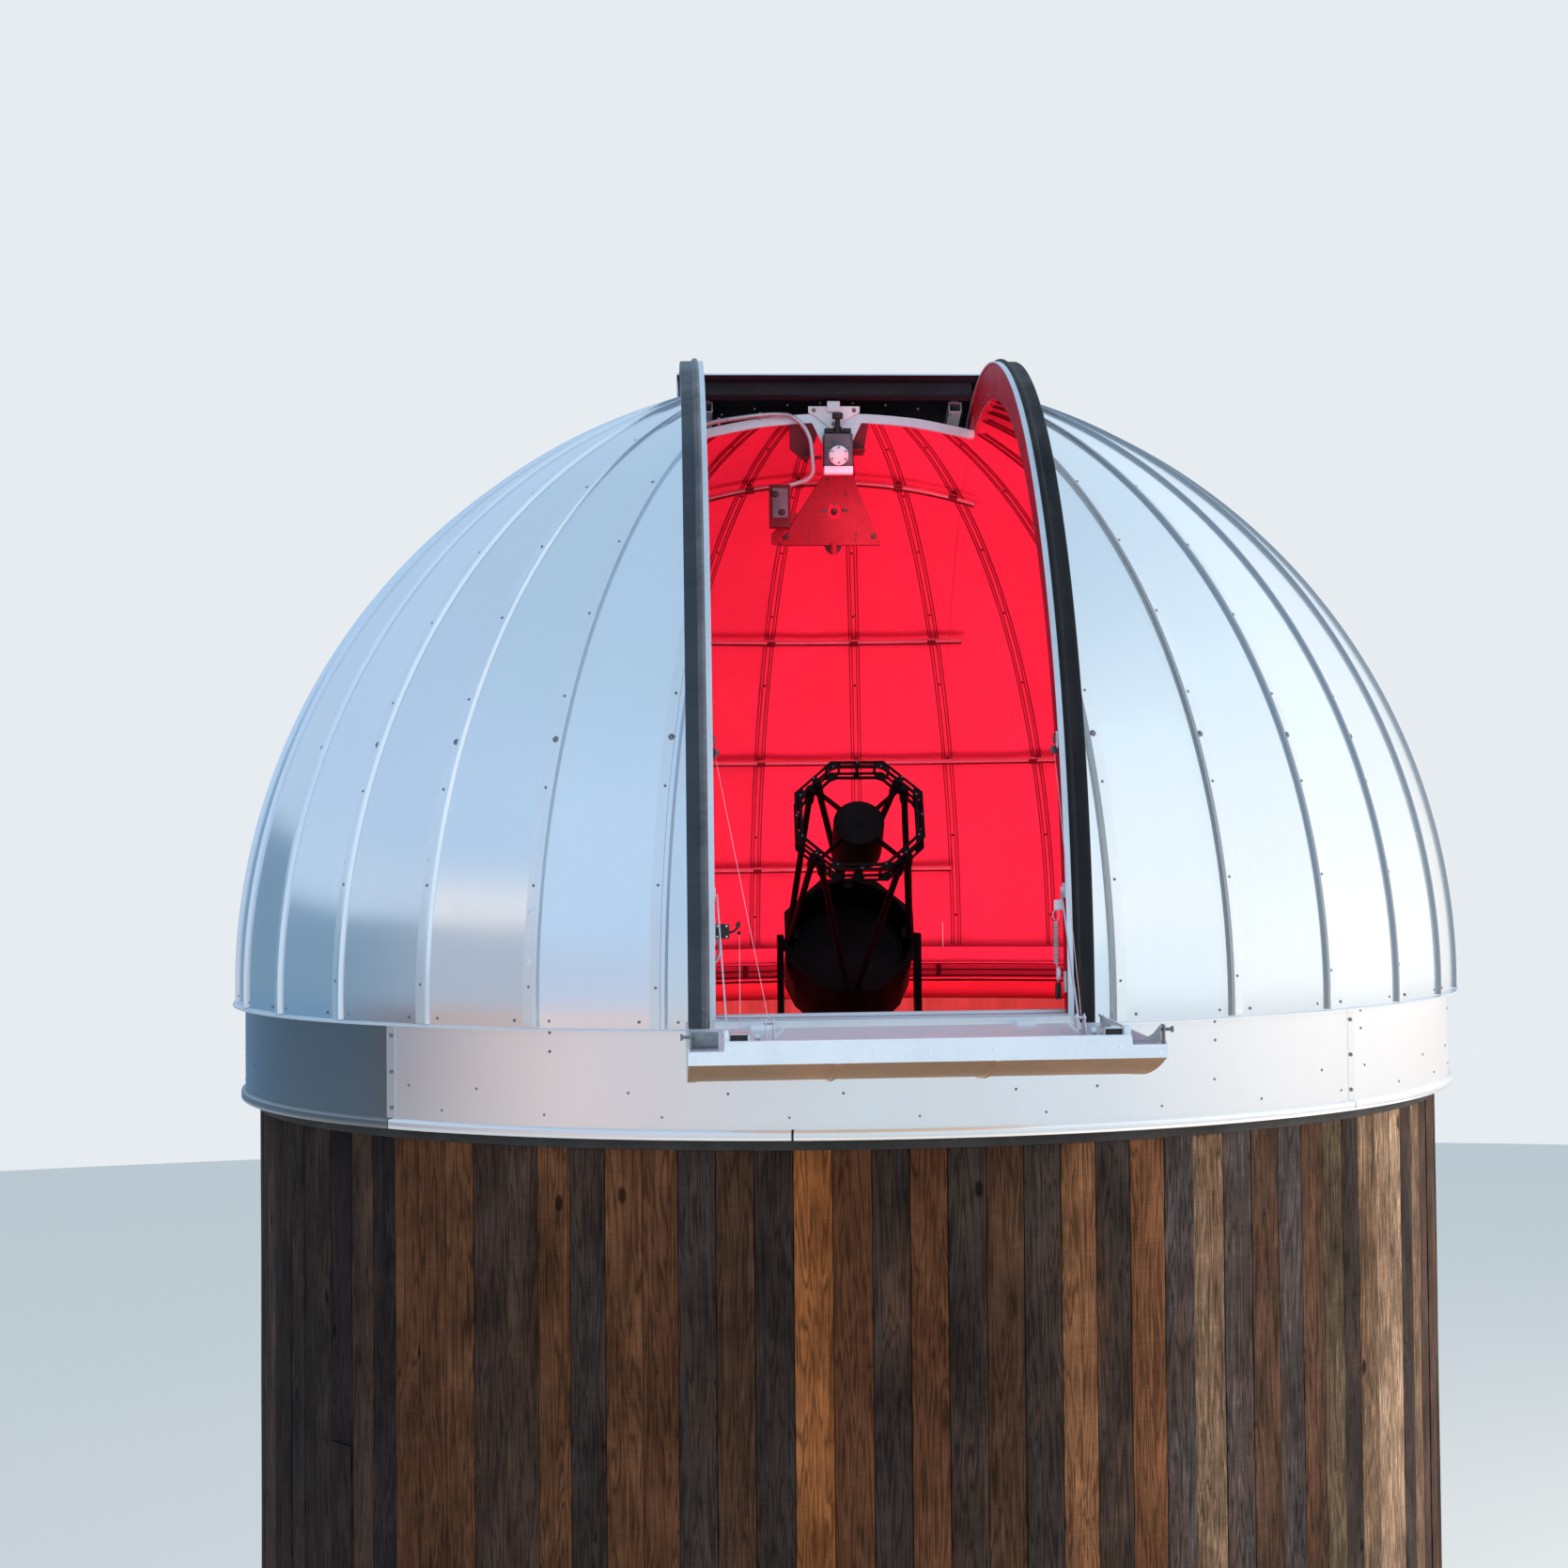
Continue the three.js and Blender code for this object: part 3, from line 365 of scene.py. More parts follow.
worn = np.array([worn_of.get(s, 0.05) for s in front_stains + rest_stains_with_painted_shade])
jamb, lintel = 0.487, 2.207
lengths = []
for left, wide, stain, wear in zip(edges[:-1], np.diff(edges), stains, worn):
    low = BOARD_FOOT
    x0, x1 = (2.15 * math.sin(math.radians(a)) for a in (left, left + wide))
    if math.cos(math.radians(left)) < 0 and min(x0, x1) < jamb and max(x0, x1) > -jamb:
        low = lintel
    cuts = [low, BOARD_HEAD]
    if chance.random() < 0.16:
        cuts.insert(1, low + (BOARD_HEAD - low) * chance.uniform(0.3, 0.75))
    for foot, head in zip(cuts[:-1], cuts[1:]):
        lengths.append((left, wide, foot, head, wear, chance.normal(0, 0.0016), chance.uniform(0, 50),
                        *(stain * chance.uniform(0.88, 1.12))))
lengths = np.array(lengths)
left, wide, foot, head, wear, proud, seed = lengths.T[:7, :, None, None]
stain = lengths[:, None, None, 7:]
middle = np.radians(left + wide / 2)
half_width = BOARD_FACE * np.radians(wide) / 2 - 0.0011
eased = 0.0022
face = BOARD_FACE + proud
across = np.array([-1, -1, -1, -0.72, -0.4, 0, 0.4, 0.72, 1, 1, 1, 0])[None, None]
inset = np.array([0, 0, 1, 0, 0, 0, 0, 0, 1, 0, 0, 0])[None, None]
depth = np.array([0, 0.5, 1, 1, 1, 1, 1, 1, 1, 0.5, 0, 0])[None, None]
steps = np.linspace(0, 1, 26)[None, :, None]
upward = foot + 0.001 + (head - foot - 0.002) * steps
sway = 0.0006 * np.sin(upward * 2.3 + seed) + 0.0004 * np.sin(upward * 7.1 + 2 * seed)
out_to = BOARD_BACK + (face - eased * inset * 0.8 + sway - BOARD_BACK) * depth
out_to = out_to - 0.0007 * np.abs(across) * depth * np.cos(seed)
narrower = np.where(depth > 0.9, 1, BOARD_BACK / BOARD_FACE)
sideways = across * half_width * narrower - np.sign(across) * inset * eased * 0.2
board_rows = np.stack(np.broadcast_arrays(
    out_to * np.sin(middle) + sideways * np.cos(middle),
    -out_to * np.cos(middle) + sideways * np.sin(middle), upward), -1)
points, faces = lofted(board_rows)
grain = np.stack(np.broadcast_arrays(sideways + seed * 3.7, upward + seed * 1.3, 0.5 * seed + 0 * sideways * upward),
                 -1)

wood, tree, shader = fresh("reclaimed_boards")
along = node(tree, "Attribute", attribute_name="grain")
tone = (node(tree, "Attribute", attribute_name="stain"), "Vector")
wornness = (node(tree, "Attribute", attribute_name="worn"), "Fac")


def along_grain(stretch, out="Fac", kind="TexNoise", **settings):
    """One output of a texture over the boards' own grain coordinates, stretched by the given scale."""
    place, texture = node(tree, "Mapping", Scale=stretch), node(tree, kind, Scale=1.0, **settings)
    wire(tree, ((along, "Vector"), (place, "Vector")), ((place, "Vector"), (texture, "Vector")))
    return (texture, out)


# The ring pattern folds a slow ripple back and forth. Fibres, weathering, knots and saw marks darken it in turn.
ripple = along_grain((17, 1.1, 1), Detail=3.0, Roughness=0.55, Distortion=0.5)
rings = sum_of(tree, "PINGPONG", sum_of(tree, "MULTIPLY", ripple, 12.0), 0.5)
fibre = along_grain((210, 5, 1), Detail=4.0, Roughness=0.7)
saw = along_grain((3, 260, 1), Detail=2.0)
weather = along_grain((6, 3.0, 1), Detail=5.0, Roughness=0.65)
knots = along_grain((4.6, 2.5, 1), "Distance", "TexVoronoi", Randomness=1.0)
streaked = along_grain((95, 9, 1), Detail=5.0, Roughness=0.75)
drift = along_grain((5, 1.3, 1), Detail=3.0, Roughness=0.6)
bared = sum_of(tree, "MULTIPLY", ranged(tree, streaked, 0.50, 0.62), wornness)
bleached = mixed(tree, tone, mixed(tree, tone, (1.9, 1.9, 1.9, 1)), bared, "MIX")
drifted = mixed(tree, bleached, (0.105, 0.047, 0.024, 1), ranged(tree, drift, 0.50, 0.72, 0.0, 0.4), "MIX")
shade = ranged(tree, rings, 0.03, 0.30, 0.52, 1.10)
for other in (ranged(tree, fibre, 0.3, 0.7, 0.66, 1.3), ranged(tree, weather, 0.32, 0.68, 0.52, 1.34),
              ranged(tree, knots, 0.045, 0.085, 0.22, 1.0, "SMOOTHSTEP"), ranged(tree, saw, 0.34, 0.66, 0.91, 1.08)):
    shade = sum_of(tree, "MULTIPLY", shade, other)
relief = sum_of(tree, "ADD", sum_of(tree, "ADD", sum_of(tree, "MULTIPLY", saw, 0.45), fibre), rings)
raised = node(tree, "Bump", Strength=0.55, Distance=0.0022)
shader.inputs["Roughness"].default_value = 0.8
shader.inputs["Specular IOR Level"].default_value = 0.06
wire(tree, (mixed(tree, drifted, shade), (shader, "Base Color")), (relief, (raised, "Height")),
     ((raised, "Normal"), (shader, "Normal")))
add("wall_boards", points, faces, wood, "building", "wall_boards", sharp=40,
    attributes={"grain": grain.reshape(-1, 3), "stain": np.broadcast_to(stain, board_rows.shape).reshape(-1, 3),
                "worn": np.broadcast_to(wear, board_rows.shape[:3]).ravel()})

# --- Head strip: a thin black strip bent round the tops of the boards, which the dome's lip hangs over.


def around(outline, angles):
    """An outline of (radius, height) points carried round the Z axis through compass angles in degrees."""
    turn = np.radians(angles)[:, None]
    radius, rise = np.array(outline, float).T[:, None]
    return np.stack([radius * np.sin(turn), -radius * np.cos(turn), rise + 0 * turn], -1)


whole = np.linspace(0, 360, 361)[:-1]
strip_black = painted("black_strip", (0.035, 0.033, 0.032), (0.014, 0.013, 0.013), 5, 90, 0.7, bump=0.2)
# The strip's black, where it shows below the dome's lip, is painted shade of the gap under the lip.
points, faces = lofted(around([(2.1615, 3.728), (2.1655, 3.7295), (2.167, 3.734), (2.167, 3.80), (2.1615, 3.80),
                               (2.1615, 3.75)],
                              whole), ring=True)
add("board_head_strip", points, faces, strip_black, "building", "rubber")

# --- Doorway, upper floor and hatch: plain sawn timber. The floor's boards run across, and the hatch has a trim.
sawn = painted("sawn_timber", (0.50, 0.36, 0.22), (0.33, 0.22, 0.13), 4.0, 70, 0.7, bump=0.3, grain=0.002,
               stretch=(9, 0.5, 9))
sawn_upright = painted("sawn_timber_upright", (0.50, 0.36, 0.22), (0.33, 0.22, 0.13), 4.0, 70, 0.7, bump=0.3,
                       grain=0.002, stretch=(9, 9, 0.5))
finish_node(sawn, "observing_floor")
finish_node(sawn_upright, "doorway_frame")


def brick(x0, x1, y0, y1, z0, z1, ease=0.002):
    """A box with eased edges: an eight-sided outline inset at its two ends. Bounds may be arrays, one for each box."""
    x0, x1, y0, y1, z0, z1 = (np.asarray(v, float)[..., None, None] for v in (x0, x1, y0, y1, z0, z1))
    inset = np.array([ease, 0, 0, ease])[:, None]
    a, b = np.array([0, 1, 1, 1, 1, 0, 0, 0]), np.array([0, 0, 0, 1, 1, 1, 1, 0])
    da, db = np.array([1, -1, 0, 0, -1, 1, 0, 0]) * ease, np.array([0, 0, 1, -1, 0, 0, -1, 1]) * ease
    x = np.where(a, x1 - inset, x0 + inset) + da
    y = np.where(b, y1 - inset, y0 + inset) + db
    level = np.array([0, 1, 2, 3])[:, None]
    z = np.where(level == 0, z0, np.where(level == 1, z0 + ease, np.where(level == 2, z1 - ease, z1)))
    return lofted(np.stack(np.broadcast_arrays(x, y, z), -1))


FLOOR_TOP, ROOM, PITCH = 3.05, 1.984, 0.142
rows = np.arange(-ROOM + 0.01, ROOM - 0.02, PITCH)
planks = []
for y in rows:
    chord = math.sqrt(ROOM ** 2 - max(abs(y), abs(y + PITCH)) ** 2) if max(abs(y), abs(y + PITCH)) < ROOM else 0
    gaps = [(-chord, chord)]
    if y + PITCH > 0.45 and y < 1.25:
        gaps = [(-chord, 0.5), (1.3, chord)]
    if y + PITCH > -0.2 and y < 0.2:
        gaps = [(-chord, -0.2), (0.2, chord)]
    planks += [(a, b, y, y + PITCH - 0.003) for a, b in gaps if b - a > 0.05]
x0, x1, y0, y1 = np.array(planks).T
points, faces = brick(x0, x1, y0, y1, 0 * x0 + FLOOR_TOP + 0.0003, 0 * x0 + FLOOR_TOP + 0.018)
add("floor_boards", points, faces, sawn, "building", "pale_wood")
trims = [brick(0.455, 0.50, 0.405, 1.295, 3.0503, 3.085, 0.004),
         brick(1.30, 1.345, 0.405, 1.295, 3.0503, 3.085, 0.004),
         brick(0.50, 1.30, 0.405, 0.45, 3.0503, 3.085, 0.004), brick(0.50, 1.30, 1.25, 1.295, 3.0503, 3.085, 0.004)]
points, faces = together(*trims)
add("hatch_trim", points, faces, sawn, "building", "pale_wood")

# --- Roller track: a flat steel ring bolted to the wall's head, with twelve roller brackets that carry the dome.
# Each bracket is two cheeks with a grooved wheel on a pin between them.


def turned_part(profile, start, axis, sides=24):
    """A round part: (distance along, radius) points of its profile, turned about a line from start along axis.
    The first and last radius are zero or small, so its two ends close."""
    axis = np.array(axis, float) / np.linalg.norm(axis)
    aside = np.cross(axis, (0, 0, 1) if abs(axis[2]) < 0.9 else (1, 0, 0))
    aside /= np.linalg.norm(aside)
    other = np.cross(axis, aside)
    along, radius = np.array(profile, float).T[:, :, None, None]
    turn = np.linspace(0, 2 * np.pi, sides, endpoint=False)[None, :, None]
    return lofted(np.array(start, float) + axis * along + radius * (aside * np.cos(turn) + other * np.sin(turn)))


def peg(start, axis, radius, length, sides):
    """A closed round bar from a start along an axis."""
    return turned_part([(0, 0.001), (0, radius), (length, radius), (length, 0.001)], start, axis, sides)


def spun(shape, *degrees):
    """Copies of a shape turned about the Z axis by each of the angles in degrees."""
    points, faces = shape
    turn = np.radians(degrees)[:, None]
    x = points[:, 0] * np.cos(turn) - points[:, 1] * np.sin(turn)
    y = points[:, 0] * np.sin(turn) + points[:, 1] * np.cos(turn)
    copies = np.stack([x, y, points[:, 2] + 0 * turn], -1).reshape(-1, 3)
    return copies, (faces + len(points) * np.arange(len(degrees))[:, None, None]).reshape(-1, 4)


dark_steel = painted("dark_steel", (0.075, 0.07, 0.068), (0.03, 0.028, 0.028), 6, 80, 0.5, metallic=0.6, bump=0.15)
points, faces = lofted(around([(2.050, 3.9503), (2.1292, 3.9503), (2.130, 3.9515), (2.130, 3.9688), (2.1292, 3.970),
                               (2.050, 3.970)], whole), ring=True)
cheek = together(brick(-0.045, -0.028, -2.120, -2.066, 3.9697, 4.012),
                 brick(0.028, 0.045, -2.120, -2.066, 3.9697, 4.012))
wheel = turned_part([(-0.0275, 0.004), (-0.027, 0.019), (-0.02, 0.0235), (0.02, 0.0235), (0.027, 0.019),
                     (0.0275, 0.004)],
                    (0, -2.093, 4.0055), (1, 0, 0), 28)
pin = turned_part([(-0.051, 0.002), (-0.050, 0.007), (0.050, 0.007), (0.051, 0.002)], (0, -2.093, 4.0055), (1, 0, 0),
                  16)
brackets = spun(together(cheek, wheel, pin), *(15 + 30 * np.arange(12)))
add("roller_track_ring", *together((points, faces), brackets), dark_steel, "building", "dark_steel", "roller_track")
# The guard is galvanised sheet; its red is painted red lamp light.
guard = lofted(around([(2.0440, 3.9505), (2.0470, 3.9505), (2.0470, 4.0200), (2.0440, 4.0220)], whole), ring=True)
add("track_guard", *guard,
    painted("guard_sheet", (0.60, 0.020, 0.050), (0.50, 0.016, 0.042), 3, 50, 0.5, metallic=0.2), "building",
    "galvanised")

# --- Base ring: the folded ring that runs on the rollers; its outer edge is the drip flange under the dome.
# Inside it stands a low kick band, which shows across the room, over dark lines and short posts on the web.


sheet_marks, given, result = group(
    "sheet_marks",
    [("Vector", "Vector", None), ("Light", "Color", (0.8, 0.8, 0.8, 1)), ("Dark", "Color", (0.6, 0.6, 0.6, 1)),
                    ("Roughness", "Float", 0.35)],
    [("Color", "Color"), ("Roughness", "Float"), ("Height", "Float")])
rolled = node(sheet_marks, "Mapping", Scale=(26, 26, 1.4))
rolling = node(sheet_marks, "TexNoise", Scale=1.0, Detail=4.0, Roughness=0.6)
smudge = node(sheet_marks, "TexNoise", Scale=1.7, Detail=5.0, Roughness=0.6)
bowing = node(sheet_marks, "TexNoise", Scale=2.6, Detail=1.0)
spangle = node(sheet_marks, "TexVoronoi", Scale=85.0)
marked = sum_of(sheet_marks, "MULTIPLY", (rolling, "Fac"), 0.15)
for mark, weight in (((smudge, "Fac"), 0.34), ((spangle, "Distance"), 0.05)):
    marked = sum_of(sheet_marks, "ADD", marked, sum_of(sheet_marks, "MULTIPLY", mark, weight))
contrast = ranged(sheet_marks, marked, 0.18, 0.36)
rub = ranged(sheet_marks, contrast, 0.0, 1.0, 0.02, -0.02)
wire(sheet_marks, ((given, "Vector"), (rolled, "Vector")), ((rolled, "Vector"), (rolling, "Vector")),
     *[((given, "Vector"), (texture, "Vector")) for texture in (smudge, bowing, spangle)],
     (mixed(sheet_marks, (given, "Dark"), (given, "Light"), contrast, "MIX"), (result, "Color")),
     (sum_of(sheet_marks, "ADD", rub, (given, "Roughness")), (result, "Roughness")),
     ((bowing, "Fac"), (result, "Height")))


def mill_sheet(name, light, dark, roughness=0.33, metallic=0.9, bowed=0.25, toned=False):
    """Rolled metal sheet: faint rolling streaks, smudges and a fine spangle, slightly bowed.
    Where the sheet is toned, each panel's own tone attribute darkens or lightens it."""
    finish, tree, shader = fresh(name)
    marks = node(tree, "Group", node_tree=sheet_marks, Light=(*light, 1), Dark=(*dark, 1), Roughness=roughness)
    raised = node(tree, "Bump", Strength=bowed, Distance=0.02)
    shader.inputs["Metallic"].default_value = metallic
    colour = (marks, "Color")
    if toned:
        colour = mixed(tree, colour, (node(tree, "Attribute", attribute_name="tone"), "Fac"))
    wire(tree, ((node(tree, "TexCoord"), "Object"), (marks, "Vector")), ((marks, "Roughness"), (shader, "Roughness")),
         ((marks, "Height"), (raised, "Height")), ((raised, "Normal"), (shader, "Normal")),
         (colour, (shader, "Base Color")))
    return finish


dome_sheet = mill_sheet("dome_sheet", (0.90, 0.94, 0.96), (0.865, 0.905, 0.935), 0.15, 0.92, 0.05, toned=True)
trim_sheet = mill_sheet("trim_sheet", (0.92, 0.94, 0.95), (0.80, 0.83, 0.86), 0.30, 0.88, 0.0)
# The inner sheet's red is painted red lamp light on bare metal; the red lamps light it as well.
sheet_painted_red_light = painted("inner_sheet_painted_red_light", (0.78, 0.070, 0.165), (0.68, 0.055, 0.130), 2.2, 30, 0.42, metallic=0.25,
                    bump=0.05,
                    rough_spread=0.06)
dark_red = painted("inner_shadow", (0.17, 0.010, 0.022), (0.10, 0.006, 0.014), 4, 50, 0.5, metallic=0.3, bump=0.05)
section = [(2.060, 4.030), (2.2022, 4.030), (2.2037, 4.0315), (2.2037, 4.094), (2.2535, 4.094), (2.2549, 4.0953),
           (2.2549, 4.0987), (2.2535, 4.100), (2.1537, 4.100), (2.1537, 4.094), (2.1977, 4.094), (2.1977, 4.036),
           (2.060, 4.036), (2.060, 4.033)]
ring_rows = around(section, np.linspace(0, 360, 241)[:-1])


def second_finish(made, test):
    """The faces that pass a test of their centres and normals take the piece's second finish."""
    mesh = made.data
    centres, normals = np.empty(len(mesh.polygons) * 3), np.empty(len(mesh.polygons) * 3)
    mesh.polygons.foreach_get("center", centres)
    mesh.polygons.foreach_get("normal", normals)
    mesh.polygons.foreach_set("material_index", test(centres.reshape(-1, 3), normals.reshape(-1, 3)).astype(np.int32))


ring = add("base_ring_fold", *lofted(ring_rows, ring=True), [trim_sheet, sheet_painted_red_light], "dome", "galvanised",
           "base_ring")
# The ring's inner faces take the red inner sheet: painted red lamp light.
second_finish(ring, lambda centres, normals: np.hypot(centres[:, 0], centres[:, 1]) < 2.198)
behind = np.linspace(35, 325, 200)
# The kick band is coloured with the red inner sheet: painted red lamp light.
kick = lofted(around([(2.1785, 4.1004), (2.1785, 4.1660), (2.1725, 4.1660), (2.1760, 4.1640), (2.1760, 4.1012),
                      (2.1760, 4.1004)], behind))
add("kick_band", *kick, sheet_painted_red_light, "dome", "inner_metal")
lines = [lofted(around([(2.1974, low), (2.1974, low + 0.005), (2.1900, low + 0.005), (2.1900, low)], behind))
         for low in (4.0365, 4.0615, 4.0885)]
posts = spun(brick(-0.010, 0.010, -2.1972, -2.1840, 4.0365, 4.0935, 0.001), *(188.8 + 22.5 * np.arange(-6, 7)))
add("ring_lines", *together(*lines, posts), dark_red, "dome", "inner_metal")

# --- Skirt: four rolled sheets that hang over the wall's head, with a rolled lip along the bottom.
# A strap covers each joint of two sheets with three fasteners; small screws hold the sheets to the ring.


def heads(places, outward, radius=0.0045, rise=0.0028, sides=10, sunk=0.0006):
    """Domed screw heads: rings of shrinking radius along each head's outward direction, starting a hair inside
    the sheet. Six sides give a bolt head."""
    places, outward = np.atleast_2d(places).astype(float), np.atleast_2d(outward).astype(float)
    outward = outward / np.linalg.norm(outward, axis=1, keepdims=True)
    aside = np.cross(outward, (0.3, 0.2, 1.0))
    aside /= np.linalg.norm(aside, axis=1, keepdims=True)
    other = np.cross(outward, aside)
    turn = np.linspace(0, 2 * np.pi, sides, endpoint=False)[:, None]
    profile = [(-sunk, 1.0), (0.35 * rise, 1.0), (0.8 * rise, 0.72), (rise, 0.25)]
    rows = [places[:, None] + outward[:, None] * h + radius * k
            * (aside[:, None] * np.cos(turn) + other[:, None] * np.sin(turn))
            for h, k in profile]
    return lofted(np.stack(rows, 1))


def on_drum(angles, heights, radius):
    """Points on an upright cylinder and their outward directions, from compass angles in degrees and heights."""
    angles, heights = np.broadcast_arrays(np.radians(np.array(angles, float)), np.array(heights, float))
    outward = np.stack([np.sin(angles), -np.cos(angles), 0 * angles], -1).reshape(-1, 3)
    return outward * radius + np.stack([0 * heights, 0 * heights, heights], -1).reshape(-1, 3), outward


skirt_sheet = mill_sheet("skirt_sheet", (0.98, 0.955, 0.95), (0.94, 0.915, 0.91), 0.20, 0.9, 0.03, toned=True)
screw_metal = painted("screw_metal", (0.30, 0.31, 0.33), (0.12, 0.12, 0.13), 30, 200, 0.4, metallic=0.8)
skirt_outline = [(2.204, 4.0937), (2.204, 3.93), (2.204, 3.762), (2.2195, 3.762), (2.2225, 3.7633), (2.2245, 3.7665),
                 (2.225, 3.772),
                 (2.225, 3.785), (2.2242, 3.7898), (2.222, 3.793), (2.2185, 3.794), (2.2115, 3.794), (2.210, 3.7955),
                 (2.210, 4.0937)]
# The left sheet's low tone of 0.27 darkens it as painted shade.
for name, centre, tone in (("front", 0, 1.0), ("right", 90, 1.04), ("rear", 180, 0.97), ("left", 270, 0.27)):
    if name == "front":
        halves = [(-44.95, -7.93), (-7.74, 44.95)]
    else:
        halves = [(-44.95, 44.95)]
    shapes = [lofted(around(skirt_outline, centre + np.linspace(a, b, max(12, int((b - a) * 1.1))))) for a,
              b in halves]
    if name == "front":
        above = [(2.204, 3.7965), (2.204, 3.93), (2.204, 4.0937), (2.210, 4.0937), (2.210, 3.93), (2.210, 3.7965)]
        shapes.append(lofted(around(above, np.linspace(-7.94, -7.73, 3))))
    points, faces = together(*shapes)
    add("skirt_sheet_" + name, points, faces, skirt_sheet, "dome", "skirt_metal", "skirt_" + name, sharp=40,
        attributes={"tone": np.full(len(points), tone)})
strap = [(2.2101, 3.797), (2.2112, 3.7975), (2.2112, 4.0925), (2.2101, 4.093)]
straps = [lofted(around(strap, centre + np.linspace(-0.52, 0.52, 5))) for centre in (45, 135, 225, 315)]
points, faces = together(*straps)
tones = np.repeat([1.0, 1.0, 0.9, 0.9], len(points) // 4)
add("skirt_straps", points, faces, skirt_sheet, "dome", "skirt_metal", attributes={"tone": tones})
screws = [heads(*on_drum([c, c, c], [3.83, 3.945, 4.06], 2.2122), 0.007, 0.006, 6) for c in (44.85, 135, 225, 315.1)]
pairs = [-28.15, 28.15, 46.6, -61, 75, -90, 105, -120, 135.8, 165, -165, -135.8]
screws.append(heads(*on_drum(np.repeat(pairs, 2), np.tile([4.028, 4.086], len(pairs)), 2.210), 0.005))
ring_of = np.arange(-177.5, 180, 10.3)
screws.append(heads(*on_drum(ring_of + 2.1 * np.sin(ring_of), 3.905, 2.210), 0.0045))
screws.append(heads(*on_drum(ring_of + 4.6, 3.832, 2.210), 0.004))
add("skirt_screws", *together(*screws), screw_metal, "dome", "skirt_metal")

# --- Dome skin: bent metal gores, each flat from side to side and curved upwards, between standing ribs.
# The outside is dull mill sheet; inside and on its edges the same sheet is coloured red, painted red lamp light.
CENTRE, RADIUS, EDGE = 4.150, 2.237, 0.5443
BASE_ARC = math.degrees(math.asin((4.1003 - CENTRE) / RADIUS))
ribs_right = 18.1 + 11.25 * np.arange(15)
ribs_left = 17.95 + 11.04 * np.arange(15)
FLATNESS = 0.8


def gore(start, end, radius, rows=80, columns=9, side=1, edge=EDGE):
    """One gore's surface on one side of the slit. Columns run between its two rib angles, narrowed where the slit's
    edge plane cuts it, and rows climb an arc until the edge plane closes it. Each row is pulled in towards its
    chord by the flatness."""
    a0, a1 = math.radians(start), math.radians(end)
    widest = 1.0 if a0 <= math.pi / 2 <= a1 else max(math.sin(a0), math.sin(a1))
    top = math.acos(min(1.0, edge / radius / widest))
    climb = np.linspace(math.radians(BASE_ARC), top - 1e-4, rows)[:, None]
    reach = radius * np.cos(climb)
    cut = np.arcsin(np.clip(edge / reach, 0, 1))
    low, high = np.maximum(a0, cut), np.minimum(a1, np.pi - cut)
    low = np.minimum(low, high)
    spread = low + (high - low) * np.linspace(0, 1, columns)[None]
    half, centre = (a1 - a0) / 2, (a0 + a1) / 2
    chord = 1 - FLATNESS * (1 - math.cos(half) / np.cos(np.clip(spread - centre, -half, half)))
    out = reach * chord
    return np.stack([side * np.maximum(out * np.sin(spread), edge), -out * np.cos(spread),
                     CENTRE + radius * np.sin(climb) + 0 * spread], -1)


def walled(outer, inner):
    """A closed sheet from two grids of the same size: its outer and inner faces and the four edges between them."""
    n, m = outer.shape[:2]
    i, j = np.meshgrid(np.arange(n - 1), np.arange(m - 1), indexing="ij")
    cell = np.stack([i * m + j, (i + 1) * m + j, (i + 1) * m + j + 1, i * m + j + 1], -1).reshape(-1, 4)
    rim = np.concatenate([np.arange(m), np.arange(1, n) * m + m - 1, (n - 1) * m + np.arange(m - 2, -1, -1),
                          np.arange(n - 2, 0, -1) * m])
    ahead = np.roll(rim, -1)
    edges = np.stack([rim, ahead, ahead + n * m, rim + n * m], -1)
    return (np.concatenate([outer.reshape(-1, 3), inner.reshape(-1, 3)]),
            np.concatenate([cell, cell[:, ::-1] + n * m, edges]))


def panel(name, grids, stands_for, tones):
    """A run of gores as one piece with two finishes: dome sheet outside, red inside and on the edges."""
    shapes = [walled(outer, inner) for outer, inner in grids]
    counts = [len(points) for points, faces in shapes]
    points, faces = together(*shapes)
    made = add(name, points, faces, [dome_sheet, sheet_painted_red_light], "dome", "galvanised", *stands_for, sharp=50,
               attributes={"tone": np.repeat(tones, counts)})
    # Faces turned inwards and the cut edges take the red inner sheet: painted red lamp light.
    second_finish(made, lambda centres, normals: ((centres - (0, 0, CENTRE)) * normals).sum(1) < 0.6)


for word, side, ribs in (("right", 1, ribs_right), ("left", -1, ribs_left)):
    limits = np.concatenate([[2 * ribs[0] - ribs[1]], ribs])
    grids, tones = [], []
    for k, (a, b) in enumerate(zip(limits[:-1], limits[1:])):
        outer = gore(a, b, RADIUS, side=side)
        inner = gore(a, b, RADIUS - 0.003, side=side)
        grids.append((outer, inner))
        tones.append(1.0 + 0.035 * math.sin(2.4 * k + side) + (-0.05 if side < 0 and 2 < k < 7 else 0))
    panel("dome_skin_" + word, grids, [f"dome_skin_{p}_{word}" for p in ("front", "side", "rear")], tones)


